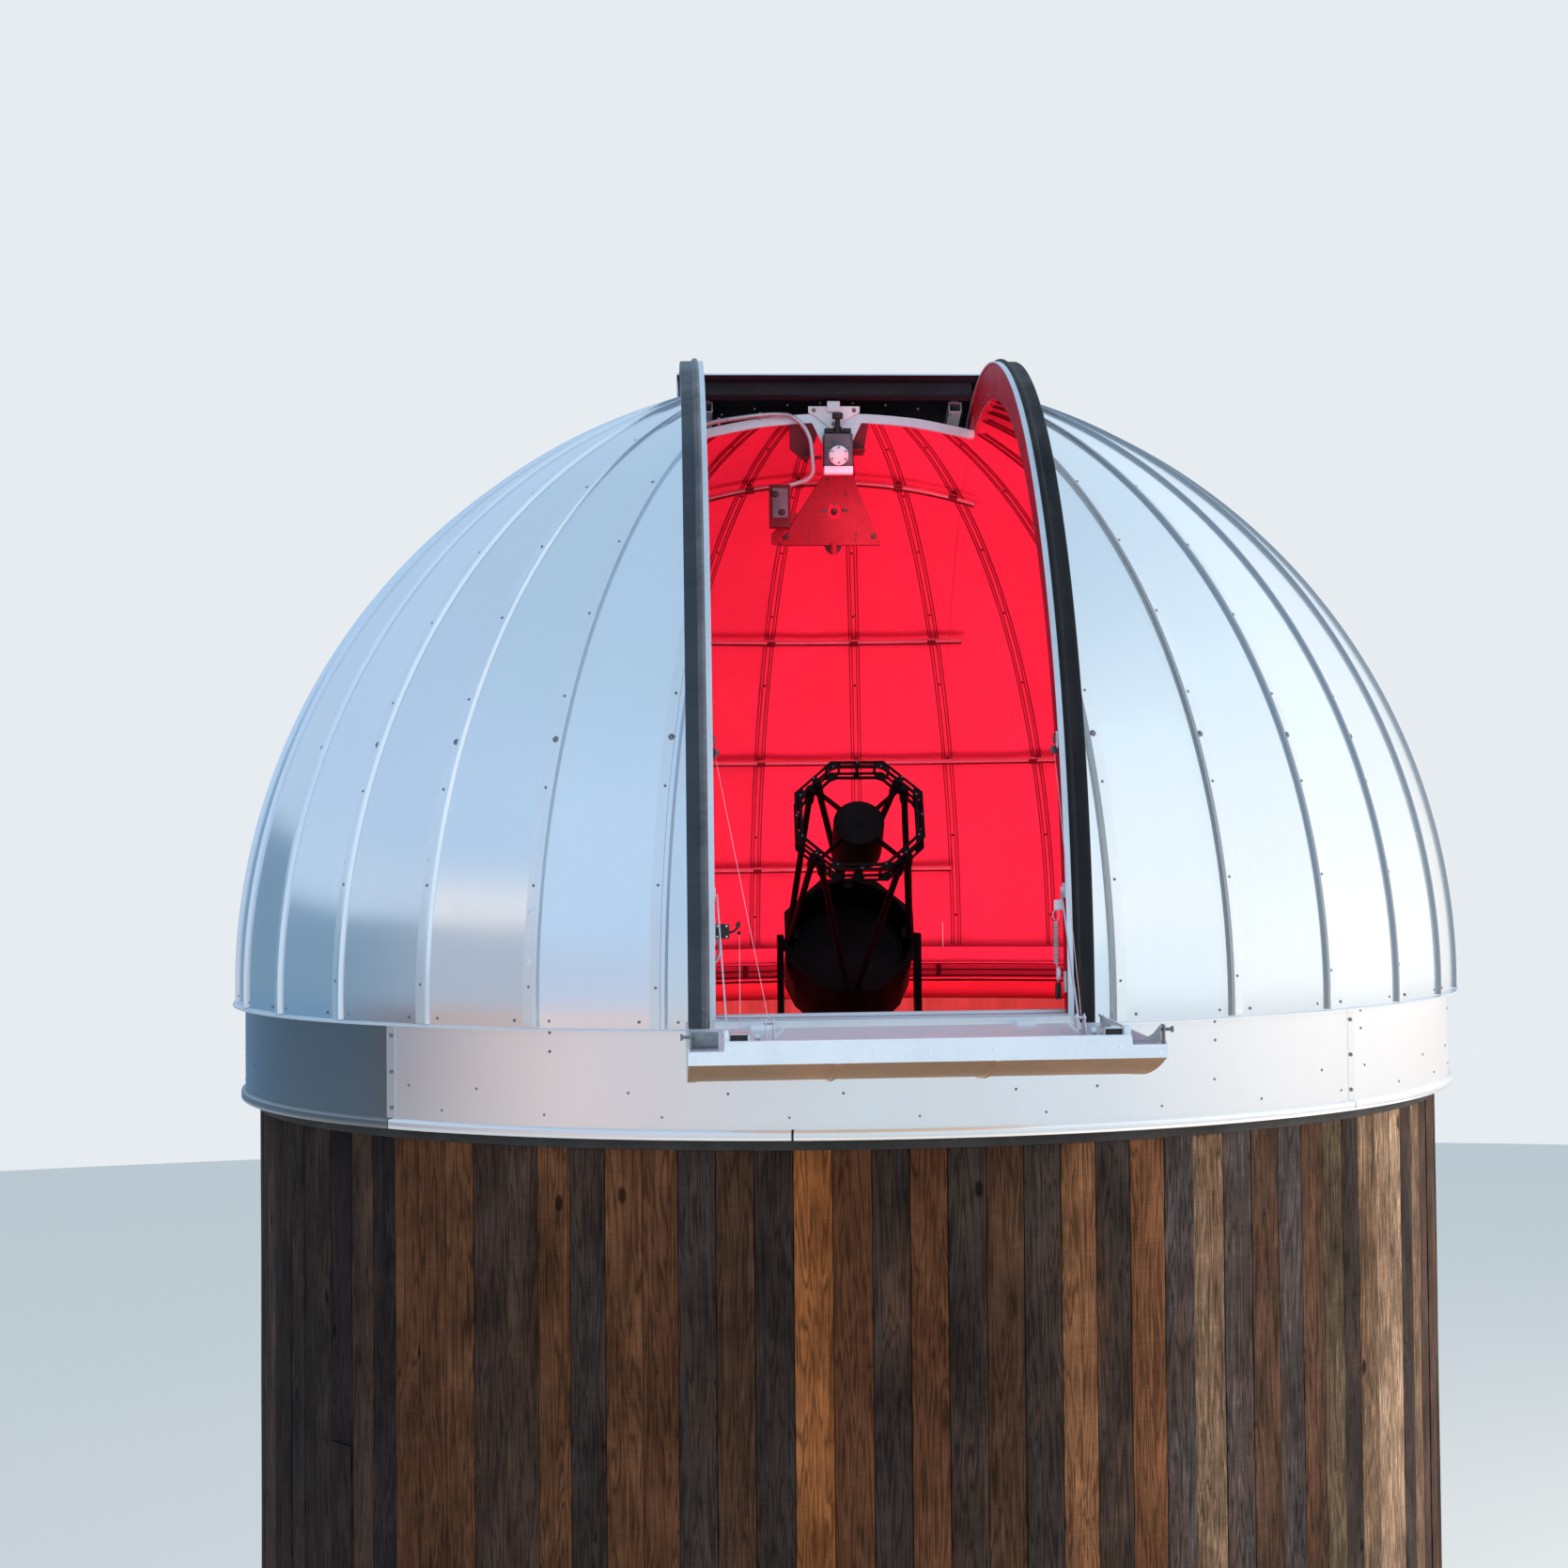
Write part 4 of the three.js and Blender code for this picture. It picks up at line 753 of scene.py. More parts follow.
def rear_gore(start, end, radius, rows=40, columns=9, half=0.5440, front=0.4965):
    """A gore of the strip between the rear rails, its angles counted from the back. Columns are narrowed by the two
    rail planes and by the header's plane, and rows run only where those leave it some width."""
    b0, b1 = math.radians(start), math.radians(end)
    nearest = 0.0 if b0 < 0 < b1 else min(abs(b0), abs(b1))
    first = radius * math.cos(math.radians(BASE_ARC))
    if nearest:
        first = min(first, half / math.sin(nearest) - 1e-4)
    last = front / math.cos(nearest) + 1e-4
    climb = np.linspace(math.acos(min(1, first / radius)) * (-1 if first > radius * 0.999 else 1),
                        math.acos(last / radius),
                        rows)[:, None]
    reach = radius * np.cos(climb)
    limit = np.minimum(np.arcsin(np.clip(half / reach, 0, 1)), np.arccos(np.clip(front / reach, 0, 1)))
    low, high = np.maximum(b0, -limit), np.minimum(b1, limit)
    low = np.minimum(low, high)
    spread = low + (high - low) * np.linspace(0, 1, columns)[None]
    middle, width = (b0 + b1) / 2, (b1 - b0) / 2
    out = reach * (1 - FLATNESS * (1 - math.cos(width) / np.cos(spread - middle)))
    return np.stack([-np.clip(out * np.sin(spread), -half, half), out * np.cos(spread),
                     CENTRE + radius * np.sin(climb) + 0 * spread], -1)


rear_ribs = np.sort(np.concatenate([ribs_right[10:] - 180, 180 - ribs_left[10:]]))
grids = [(rear_gore(a, b, RADIUS), rear_gore(a, b, RADIUS - 0.003)) for a, b in zip(rear_ribs[:-1], rear_ribs[1:])]
panel("dome_skin_rear_middle_strip", grids, ["dome_skin_rear_middle"], 1.0 + 0.02 * np.arange(len(grids)) % 0.05)

# --- Ribs: a folded standing rib over each joint of two gores, with a flat lap beside it on the side away from
# the slit. Small screws follow the lap, with one larger bolt a third of the way up and a row along the base.
# Inside, a shallow hat strip covers each joint.


def meridian(angle, side, section, climbs, radius=RADIUS):
    """A section of (sideways, outward) points carried up the dome at one compass angle. Sideways is along the level
    tangent, towards larger angles, and outward is added to the dome's radius."""
    a = math.radians(angle)
    away, along = np.array([math.sin(a) * side, -math.cos(a), 0]), np.array([math.cos(a) * side, math.sin(a), 0])
    sideways, outward = np.array(section, float).T[:, None, :, None]
    climb = np.radians(climbs)[:, None, None]
    return ((radius + outward) * (np.cos(climb) * away + np.sin(climb) * np.array([0, 0, 1]))
            + sideways * along + np.array([0, 0, CENTRE]))


rib_section = [(-0.0125, -0.0015), (-0.0118, 0.0010), (-0.0062, 0.0108), (0.0062, 0.0108), (0.0118, 0.0010),
               (0.0125, -0.0015)]
hat_section = [(-0.0225, -0.0032), (-0.0225, -0.0060), (0.0225, -0.0060), (0.0225, -0.0032)]
# Four thin dark strips on each hat's inner face stand in for the shade along its folds and edges: painted shade.
hat_edges = [[(a, -0.0061), (a, -0.0095), (a + 0.004, -0.0095), (a + 0.004, -0.0061)]
             for a in (-0.0225, -0.0115, 0.0075, 0.0185)]
ribs, laps, hats, edges, small, large, washers, hat_screws = [], [], [], [], [], [], [], []
for side, angles, step in ((1, ribs_right, 11.25), (-1, ribs_left, 11.04)):
    half_step = math.radians(step / 2)
    for k, angle in enumerate(angles):
        a = math.radians(angle)
        if RADIUS * math.sin(a) < EDGE + 0.03:
            continue
        top = math.degrees(math.acos(min(1.0, (EDGE + 0.014) / RADIUS / math.sin(a))))
        climbs = np.linspace(BASE_ARC + 0.12, top, 60)
        ribs.append(lofted(meridian(angle, side, rib_section, climbs)))
        behind_curb = math.radians(180 - angle)
        end = top - 0.5
        if behind_curb < math.pi / 4:
            end = math.degrees(math.acos(0.52 / math.cos(behind_curb) / RADIUS)) - 0.6
        inside = np.linspace(BASE_ARC + 1.9, end, 50)
        hats.append(lofted(meridian(angle, side, hat_section, inside)))
        edges += [lofted(meridian(angle, side, edge, inside)) for edge in hat_edges]
        climb = np.radians(climbs[:-3])[:, None]
        turn = a + np.linspace(0.0115, 0.047, 4)[None] / (RADIUS * np.cos(climb))
        bend = 1 - FLATNESS * (1 - math.cos(half_step) / np.cos(turn - a - half_step))
        grids = []
        for lift in (0.0030, 0.0012):
            out = (RADIUS + lift) * np.cos(climb) * bend
            grids.append(np.stack([side * out * np.sin(turn), -out * np.cos(turn),
                                   CENTRE + (RADIUS + lift) * np.sin(climb) + 0 * turn], -1))
        if (abs(grids[0][..., 0]) > EDGE + 0.004).all():
            laps.append(walled(*grids))
        spots = np.radians(np.arange(2.0, top - 2.5, 8.06))
        beside = a + 0.026 / (RADIUS * np.cos(spots))
        bent = RADIUS * (1 - FLATNESS * (1 - math.cos(half_step) / np.cos(beside - a - half_step))) + 0.0030
        away = np.stack([side * np.cos(spots) * np.sin(beside), -np.cos(spots) * np.cos(beside), np.sin(spots)], -1)
        keep = np.abs(away[:, 0]) * RADIUS > EDGE + 0.03
        small.append(heads((away * np.stack([bent, bent, np.full_like(bent, RADIUS + 0.0030)], -1)
                            + (0, 0, CENTRE))[keep],
                           away[keep], 0.0048, 0.003, 8))
        if top > 26:
            e = math.radians(22.3)
            b = a + 0.022 / (RADIUS * math.cos(e))
            away = np.array([side * math.cos(e) * math.sin(b), -math.cos(e) * math.cos(b), math.sin(e)])
            large.append(heads(away * (RADIUS + 0.0008) + (0, 0, CENTRE), away, 0.0105, 0.007, 12))
        hat_spots = np.radians(np.arange(4.0, end - 3, 9.2))
        inward = np.stack([side * np.cos(hat_spots) * math.sin(a), -np.cos(hat_spots) * math.cos(a),
                           np.sin(hat_spots)], -1)
        hat_screws.append(heads(inward * (RADIUS - 0.006) + (0, 0, CENTRE), -inward, 0.006, 0.004, 8))
for angle, climb in ((-40.75, 12.2), (-29.7, 8.0), (-29.75, 4.05), (-51.9, 12.0)):
    b, e = math.radians(angle), math.radians(climb)
    away = np.array([math.cos(e) * math.sin(b), -math.cos(e) * math.cos(b), math.sin(e)])
    washers.append(heads(away * (RADIUS - 0.0005) + (0, 0, CENTRE), away, 0.0105, 0.005, 14))
base_angles = np.concatenate([np.concatenate([side * (angles - 1.15), side * (angles + 2.1)])
                              for side, angles in ((1, ribs_right[:14]), (-1, ribs_left[:14]))])
turn = np.radians(base_angles)
away = np.stack([np.sin(turn), -np.cos(turn), 0 * turn], -1)
small.append(heads(away * (RADIUS - 0.0042) + (0, 0, 4.1235), away, 0.005, 0.0032, 8))
for angle in rear_ribs[abs(rear_ribs) < 14.9]:
    climbs = np.linspace(BASE_ARC + 1.9, math.degrees(math.acos(0.52 / math.cos(math.radians(angle)) / RADIUS)) - 0.6,
                         50)
    hats.append(lofted(meridian(180 + angle, 1, hat_section, climbs)))
    edges += [lofted(meridian(180 + angle, 1, edge, climbs)) for edge in hat_edges]
    a, inside = math.radians(180 + angle), np.radians(np.arange(4.0, climbs[-1] - 3, 9.2))
    inward = np.stack([np.cos(inside) * math.sin(a), -np.cos(inside) * math.cos(a), np.sin(inside)], -1)
    hat_screws.append(heads(inward * (RADIUS - 0.006) + (0, 0, CENTRE), -inward, 0.006, 0.004, 8))
rib_sheet = mill_sheet("rib_sheet", (0.88, 0.94, 1.0), (0.80, 0.87, 0.94), 0.24, 0.9, 0.0, toned=True)
# The ribs right of the slit take a tone of 0.40, darker than those on the left, as painted shade.
tones = np.concatenate([np.full(len(points), 0.40 if points[0, 0] > 0 else 1.0) for points, faces in ribs])
add("dome_ribs", *together(*ribs), rib_sheet, "dome", "galvanised", sharp=28, attributes={"tone": tones})
add("dome_laps", *together(*laps), trim_sheet, "dome", "galvanised", sharp=50)
add("dome_screws", *together(*small), screw_metal, "dome", "galvanised")
add("dome_bolts", *together(*large), screw_metal, "dome", "galvanised")
add("dome_washers", *together(*washers), trim_sheet, "dome", "galvanised")
# The hats are coloured with the red inner sheet: painted red lamp light.
add("inner_hats", *together(*hats), sheet_painted_red_light, "dome", "inner_metal", sharp=28)
# The dark red of the hat edge strips is painted shade.
hat_edge_painted_shade = painted("hat_edge_painted_shade", (0.22, 0.008, 0.020), (0.15, 0.006, 0.014), 4, 50, 0.5, bump=0.0)
add("inner_hat_edges", *together(*edges), hat_edge_painted_shade, "dome", "inner_metal", sharp=28)
add("inner_hat_screws", *together(*hat_screws), dark_red, "dome", "inner_metal")

# --- Inner bars: four curved stiffening tubes across the rear ribs, each held off the hats by a clamp at every rib.
# Three lie level; the highest stands upright behind the header, so it bows with the roof.


def tube_along(path, radius, sides=10):
    """A round tube along a path of points: circles square to the path, turned as little as possible from one to the
    next. radius may be one number or one for each point."""
    path = np.asarray(path, float)
    tangent = np.gradient(path, axis=0)
    tangent /= np.linalg.norm(tangent, axis=1, keepdims=True)
    aside = np.cross(tangent[0], (0.13, 0.21, 0.97))
    frames = []
    for t in tangent:
        aside = aside - t * (aside @ t)
        aside /= np.linalg.norm(aside)
        frames.append((aside, np.cross(t, aside)))
    first, second = np.array(frames).transpose(1, 0, 2)[:, :, None]
    turn = np.linspace(0, 2 * np.pi, sides, endpoint=False)[None, :, None]
    radius = np.broadcast_to(radius, len(path))[:, None, None]
    return lofted(path[:, None] + radius * (first * np.cos(turn) + second * np.sin(turn)))


# The bars' light pink is painted red lamp light and painted highlight; faces turned down take the dark red as painted
# shade.
bar_metal = painted("bar_metal", (0.85, 0.34, 0.42), (0.70, 0.24, 0.31), 6, 80, 0.35, metallic=0.5, bump=0.0)
seat, clamps, saddles = RADIUS - 0.045, [], []
for name, level, reach in (("lowest", 4.512, 15.5), ("lower", 4.983, 30), ("upper", 5.496, 20),
                           ("highest", None, 16.7)):
    if level:
        radius = math.sqrt(seat ** 2 - (level - CENTRE) ** 2)
        turn = np.radians(np.linspace(-reach, reach, 48))
        path = np.stack([radius * np.sin(turn), radius * np.cos(turn), level + 0 * turn], -1)
    else:
        x = np.linspace(-0.588, 0.588, 48)
        path = np.stack([x, 0 * x + 0.985, CENTRE + np.sqrt(seat ** 2 - 0.985 ** 2 - x ** 2)], -1)
    bar = add("inner_bar_" + name + "_tube", *tube_along(path, 0.0125, 12), [bar_metal, dark_red], "dome",
              "inner_metal", "inner_bar_" + name)
    # Faces turned down take the dark red: painted shade.
    second_finish(bar, lambda centres, normals: normals[:, 2] < -0.15)
    for rib in rear_ribs:
        a = math.radians(rib)
        x = -path[24, 1] * math.tan(a) if level is None else -radius * math.sin(a)
        if abs(x) > path[-1, 0] - 0.014 or abs(x) < 0.568 and abs(x) * RADIUS / seat > 0.512:
            continue
        spot = np.array([x, *(path[np.argmin(abs(path[:, 0] - x))][1:])])
        outward = spot - (0, 0, CENTRE if level is None else level)
        outward /= np.linalg.norm(outward)
        along = np.cross(outward, (0, 0, 1) if level else (0, 1, 0))
        end = RADIUS - 0.0145 - seat if level is None else math.sqrt((RADIUS - 0.0145) ** 2
                                                                     - (level - CENTRE) ** 2) - radius
        saddles.append(turned_part([(-0.018, 0.010), (-0.018, 0.0150), (0.018, 0.0150), (0.018, 0.010)], spot, along,
                                   16))
        clamps.append(tube_along([spot + outward * 0.006, spot + outward * end / 2, spot + outward * end], 0.011, 4))
# The saddles likewise: their tops light pink as painted highlight, the rest dark red as painted shade.
second_finish(add("inner_bar_saddles", *together(*saddles), [bar_metal, dark_red], "dome", "inner_metal", sharp=40),
              lambda centres, normals: normals[:, 2] < 0.55)
add("inner_bar_clamps", *together(*clamps), dark_red, "dome", "inner_metal", sharp=40)

# --- Slit curbs: two long galvanised angles that edge the slit and run on over the back as the shutter's rails.
# Each is folded from thick sheet, its web standing on the skin and its flange turned outwards under the rubber.


def arched(outline, arcs, side=1, centre=(0.0, CENTRE)):
    """A section of (x, distance) points swept about the X axis through a centre (y, z). Arcs are degrees up from
    the front, so a point lies at y - distance * cos and z + distance * sin. The outline may differ at each arc."""
    outline = np.asarray(outline, float)
    outline = np.broadcast_to(outline, (len(arcs),) + outline.shape[-2:])
    arc = np.radians(arcs)[:, None]
    return lofted(np.stack([side * outline[..., 0], centre[0] - outline[..., 1] * np.cos(arc),
                            centre[1] + outline[..., 1] * np.sin(arc)], -1))


curb_outline = [(0.5440, 2.152), (0.5440, 2.2705), (0.5465, 2.2765), (0.5520, 2.2782), (0.6140, 2.278),
                (0.6140, 2.284),
                (0.5525, 2.284), (0.5520, 2.2900), (0.5515, 2.2905), (0.5340, 2.2905), (0.5335, 2.2900),
                (0.5335, 2.2850),
                (0.5400, 2.2845), (0.5400, 2.152)]
rail_arcs = np.linspace(-1.1, 177, 240)
curb_outlines = np.repeat([curb_outline], len(rail_arcs), axis=0)
curb_outlines[:, (0, -1), 1] += 0.0845 * np.clip((rail_arcs - 101.5) / 1.5, 0, 1)[:, None]
curb_sheet = mill_sheet("curb_sheet", (0.80, 0.85, 0.89), (0.62, 0.67, 0.72), 0.38, 0.75, 0.1)
# The curbs' inner faces are galvanised; their dark red is painted red lamp light, darker than the inner sheet as
# painted shade.
web_red = painted("web_red", (0.46, 0.014, 0.045), (0.30, 0.010, 0.028), 3, 40, 0.5, bump=0.05, shine=0.3)
for side, name in ((1, "right"), (-1, "left")):
    curb = add(f"slit_curb_{name}_angle", *arched(curb_outlines, rail_arcs, side), [curb_sheet, web_red], "dome",
               "galvanised",
               f"slit_curb_{name}")
    second_finish(curb, lambda centres, normals: (np.hypot(centres[:, 1], centres[:, 2] - CENTRE) < 2.2835)
                  & ((normals[:, 0] * side < -0.5) | (centres[:, 1] > 0.46)))
bolt_arcs = np.radians(np.arange(3.0, 100, 6.0))
inner = np.stack([0 * bolt_arcs + 0.540, -2.172 * np.cos(bolt_arcs), CENTRE + 2.172 * np.sin(bolt_arcs)], -1)
inward = np.array([(-1.0, 0, 0)]) + 0 * inner
points, faces = together(heads(inner, inward, 0.006, 0.004, 8), heads(inner * (-1, 1, 1), -inward, 0.006, 0.004, 8))
add("curb_bolts", points, faces, screw_metal, "dome", "galvanised")

# --- Rubber seals: a soft bulb strip along each curb, glossy and a little wavy, screwed down at its foot.
# The left one is slaty grey, the right one nearly black; that grey and the lighter bulbs are painted highlight.
arcs = np.linspace(-1.1, 177, 240)
wave = (0.0012 * np.sin(np.radians(arcs * 9)) + 0.0009 * np.sin(np.radians(arcs * 23 + 40)))[:, None]
foot = np.exp(-((arcs + 1.1) / 3.0) ** 2)[:, None]
across = np.array([0.5527, 0.5525, 0.5533, 0.5575, 0.5640, 0.5710, 0.5745, 0.5760, 0.6000, 0.6120, 0.6152, 0.6165,
                   0.6165, 0.6160,
                   0.6152, 0.6150, 0.6143, 0.6143])
lift = np.array([2.2843, 2.2900, 2.2945, 2.2982, 2.2990, 2.2960, 2.2915, 2.2898, 2.2898, 2.2896, 2.2880, 2.2840,
                 2.2700, 2.2660,
                 2.2660, 2.2770, 2.2790, 2.2843])
soft = np.array([0, 0.3, 1, 1, 1, 1, 0.3, 0, 0, 0, 0, 0, 1, 1, 1, 1, 0, 0])
outline = np.stack([across + 0 * wave, lift + soft * (wave + 0.004 * foot * np.sin(across * 260))], -1)
for side, name, bulb, flat, rough in (
        (1, "right", ((0.012, 0.012, 0.015), (0.006, 0.006, 0.008)), ((0.010, 0.011, 0.014), (0.005, 0.005, 0.007)),
         0.55),
        (-1, "left", ((0.135, 0.142, 0.160), (0.055, 0.060, 0.072)), ((0.044, 0.056, 0.074), (0.026, 0.034, 0.048)),
         0.36)):
    rubbers = [painted(f"seal_{part}_{name}", *tones, 5, 45, rough, bump=0.25, grain=0.0015, stretch=(0.3, 1, 1),
                       shine=0.22)
               for part, tones in (("bulb", bulb), ("foot", flat))]
    seal = add(f"slit_seal_{name}_bulb", *arched(outline, arcs, side), rubbers, "dome", "rubber", f"slit_seal_{name}",
               sharp=50)
    # Faces beyond the bulb take the darker foot colour; the lighter bulb is painted highlight.
    second_finish(seal, lambda centres, normals: abs(centres[:, 0]) > 0.5755)
low = np.radians([0.6, 2.6])
clip = np.stack([-0.566 + 0 * low, -2.2965 * np.cos(low), CENTRE + 2.2965 * np.sin(low)], -1)
outward = np.stack([0 * low, -np.cos(low), np.sin(low)], -1)
add("seal_clips", *heads(clip, outward, 0.006, 0.003, 10), screw_metal, "dome", "galvanised")

# --- Header: a galvanised angle bowed across the top of the slit, which ties the two curbs together.
# A shield-shaped gusset hangs from its middle on three bolts, with a small block over it, and its right end
# steps down to a bracket on the curb.


def cut_plate(outline, low, high, axis="y", ease=0.0008):
    """A flat plate of any outline: its (a, b) points at two depths along an axis, inset a little at both faces."""
    outline = np.asarray(outline, float)
    ahead, behind = np.roll(outline, -1, 0) - outline, outline - np.roll(outline, 1, 0)
    normals = [np.stack([v[:, 1], -v[:, 0]], -1) / np.linalg.norm(v, axis=1)[:, None] for v in (ahead, behind)]
    turn = np.sign(np.sum(outline[:, 0] * np.roll(outline[:, 1], -1) - np.roll(outline[:, 0], -1) * outline[:, 1]))
    inner = outline - turn * ease * (normals[0] + normals[1]) / (1 + np.sum(normals[0] * normals[1], 1))[:, None]
    levels = [(inner, low), (outline, low + ease), (outline, high - ease), (inner, high)]
    order = {"x": (2, 0, 1), "y": (0, 2, 1), "z": (0, 1, 2)}[axis]
    rows = np.array([np.column_stack([p, np.full(len(p), d)]) for p, d in levels])
    return lofted(rows[..., order])


white_trim = painted("white_trim", (0.86, 0.89, 0.92), (0.70, 0.75, 0.80), 9, 120, 0.45, metallic=0.35, bump=0.08)
finish_node(curb_sheet, "slit_header")
shield = [(-0.1115, 0.0), (-0.1115, -0.026), (-0.083, -0.040), (-0.031, -0.085), (-0.017, -0.090), (0.000, -0.085),
          (0.060, -0.040),
          (0.0905, -0.024), (0.0905, 0.0), (-0.010, 0.0)]
gusset = cut_plate(np.array(shield) + (0, 6.357), 0.4755, 0.4825)
block = brick(-0.038, 0.012, 0.462, 0.4755, 6.334, 6.376, 0.0015)
post = brick(-0.034, 0.008, 0.4825, 0.520, 6.334, 6.362, 0.0015)
bracket = brick(0.513, 0.539, 0.430, 0.484, 6.228, 6.258, 0.002)
add("header_gusset", *together(gusset, block, post, bracket), white_trim, "dome", "white_metal")
wings = [cut_plate([(-0.185, 6.300), (-0.062, 6.306), (-0.062, 6.135), (-0.120, 6.135), (-0.185, 6.190)], 0.4962,
                   0.5010),
         cut_plate([(0.062, 6.306), (0.128, 6.302), (0.128, 6.200), (0.105, 6.165), (0.062, 6.165)], 0.4962, 0.5010),
         brick(-0.130, -0.062, 0.4500, 0.4960, 6.150, 6.158, 0.001),
         brick(0.062, 0.110, 0.4500, 0.4960, 6.180, 6.188, 0.001)]
add("header_back_plate", *together(*wings), dark_red, "dome", "dark_steel")
bolts = np.array([(-0.090, 0.4755, 6.341), (0.068, 0.4755, 6.341), (-0.013, 0.4755, 6.287)])
rim = np.linspace(-0.45, 0.45, 8)
along = np.stack([rim, 0 * rim + 0.484, CENTRE + np.sqrt(2.221 ** 2 - rim ** 2)], -1)
forward = (0.0, -1.0, 0.0)
points, faces = together(heads(bolts, forward, 0.009, 0.006, 6), heads(along, forward, 0.005, 0.003, 8))
add("header_bolts", points, faces, screw_metal, "dome", "galvanised")

# --- Gearbox: a cast aluminium box under the header, with a round cover on six bolts and a short drive shaft above.
# A pale mounting block closes its foot where the motor plate begins.
cast = painted("cast_aluminium", (0.16, 0.165, 0.19), (0.09, 0.095, 0.11), 14, 170, 0.45, metallic=0.6, bump=0.25,
               grain=0.001)
bright_cast = painted("turned_aluminium", (0.82, 0.83, 0.86), (0.66, 0.67, 0.70), 14, 170, 0.36, metallic=0.6,
                      bump=0.1, grain=0.001)
box = together(brick(-0.0565, 0.0565, 0.3745, 0.4835, 6.112, 6.239, 0.004),
               brick(-0.050, 0.050, 0.3690, 0.3745, 6.120, 6.180, 0.002))
cover = turned_part([(0, 0.001), (0, 0.030), (0.002, 0.0375), (0.013, 0.0385), (0.018, 0.0385)], (0, 0.352, 6.150),
                    (0, 1, 0), 32)
add("shutter_gearbox_casting", *box, cast, "dome", "galvanised", "shutter_gearbox")
add("gearbox_cover", *cover, bright_cast, "dome", "galvanised")
turn = np.radians(np.arange(0, 360, 60) + 30)
spots = np.stack([0.030 * np.cos(turn), 0 * turn + 0.352, 6.150 + 0.030 * np.sin(turn)], -1)
side_bolts = np.array([(x, 0.3745, z) for x in (-0.050, 0.050) for z in (6.190, 6.214, 6.233)])
add("gearbox_bolts", *together(heads(spots, forward, 0.0042, 0.003, 6),
                               heads(side_bolts, forward, 0.0038, 0.003, 8)), screw_metal, "dome", "galvanised")
shaft = turned_part([(0, 0.001), (0, 0.017), (0.030, 0.017), (0.032, 0.010), (0.060, 0.010), (0.062, 0.021),
                     (0.084, 0.021),
                     (0.084, 0.001)], (0, 0.418, 6.2385), (0, 0, 1), 16)
arms = [brick(a, b, 0.405, 0.432, 6.244, 6.262, 0.002) for a, b in ((-0.052, -0.018), (0.018, 0.052))]
add("gearbox_shaft", *together(shaft, *arms), dark_steel, "dome", "dark_steel")
foot_block = brick(-0.0565, 0.0565, 0.3690, 0.4700, 6.0795, 6.111, 0.003)
add("gearbox_foot", *foot_block, white_trim, "dome", "white_metal")

# --- Motor plate: a sheet-metal plate, red as painted lamp light, that hangs from the gearbox and carries the drive.
# It widens downwards, has a flange along its foot, a wing bent back at its left, a cross-shaped cut with the
# sprocket shaft, two large bolts at its corners and a knob below. Its lettering is left off.
plate_painted_red_light = painted("plate_painted_red_light", (0.150, 0.004, 0.013), (0.095, 0.003, 0.008), 7, 60, 0.60, bump=0.08, shine=0.2)
finish_node(plate_painted_red_light, "motor_plate")
wing = cut_plate([(-0.2352, 5.8065), (-0.2360, 5.8200), (-0.158, 5.9250), (-0.171, 5.9350), (-0.262, 5.8500),
                  (-0.262, 5.8065)], 0.400, 0.419)
flange = brick(-0.2345, 0.1645, 0.4305, 0.470, 5.8065, 5.8105, 0.001)
left_edge = cut_plate([(-0.0575, 6.078), (-0.060, 6.078), (-0.2365, 5.808), (-0.2335, 5.808)], 0.4305, 0.462)
right_edge = cut_plate([(0.0575, 6.078), (0.0548, 6.078), (0.1618, 5.808), (0.1645, 5.808)], 0.4305, 0.462)
add("motor_plate_folds", *together(wing, flange, left_edge, right_edge), plate_painted_red_light, "dome", "red_metal")
drive = turned_part([(0, 0.001), (0, 0.006), (0.004, 0.009), (0.045, 0.009), (0.047, 0.0125), (0.085, 0.0125),
                     (0.085, 0.001)],
                    (-0.015, 0.392, 5.940), (0, 1, 0), 14)
sprocket = turned_part([(0, 0.001), (0, 0.028), (0.003, 0.032), (0.010, 0.032), (0.013, 0.028), (0.013, 0.001)],
                       (-0.020, 0.452, 5.806), (0, 1, 0), 24)
cross = [brick(-0.0665, -0.0425, 0.4185, 0.4205, 5.934, 5.946, 0.0005),
         brick(0.0125, 0.0365, 0.4185, 0.4205, 5.934, 5.946, 0.0005),
         brick(-0.021, -0.009, 0.4185, 0.4205, 5.9605, 5.974, 0.0005)]
add("motor_drive", *together(drive, sprocket, *cross), dark_steel, "dome", "dark_steel")
spots = np.array([(-0.205, 0.42, 5.840), (0.136, 0.42, 5.840), (-0.042, 0.42, 6.066), (0.034, 0.42, 6.066)])
large_bolts = heads(spots[:2], forward, 0.0125, 0.006, 6)
small_bolts = heads(spots[2:], forward, 0.005, 0.004, 8)
rivets = np.array([(x, 0.42, z) for x,
                   z in ((-0.115, 5.850), (0.068, 5.850), (0.066, 5.826), (-0.118, 5.826), (0.028, 6.004),
                         (-0.047, 6.004))])
add("motor_plate_bolts", *together(large_bolts, small_bolts, heads(rivets, forward, 0.005, 0.002, 8)), dark_steel,
    "dome", "dark_steel")

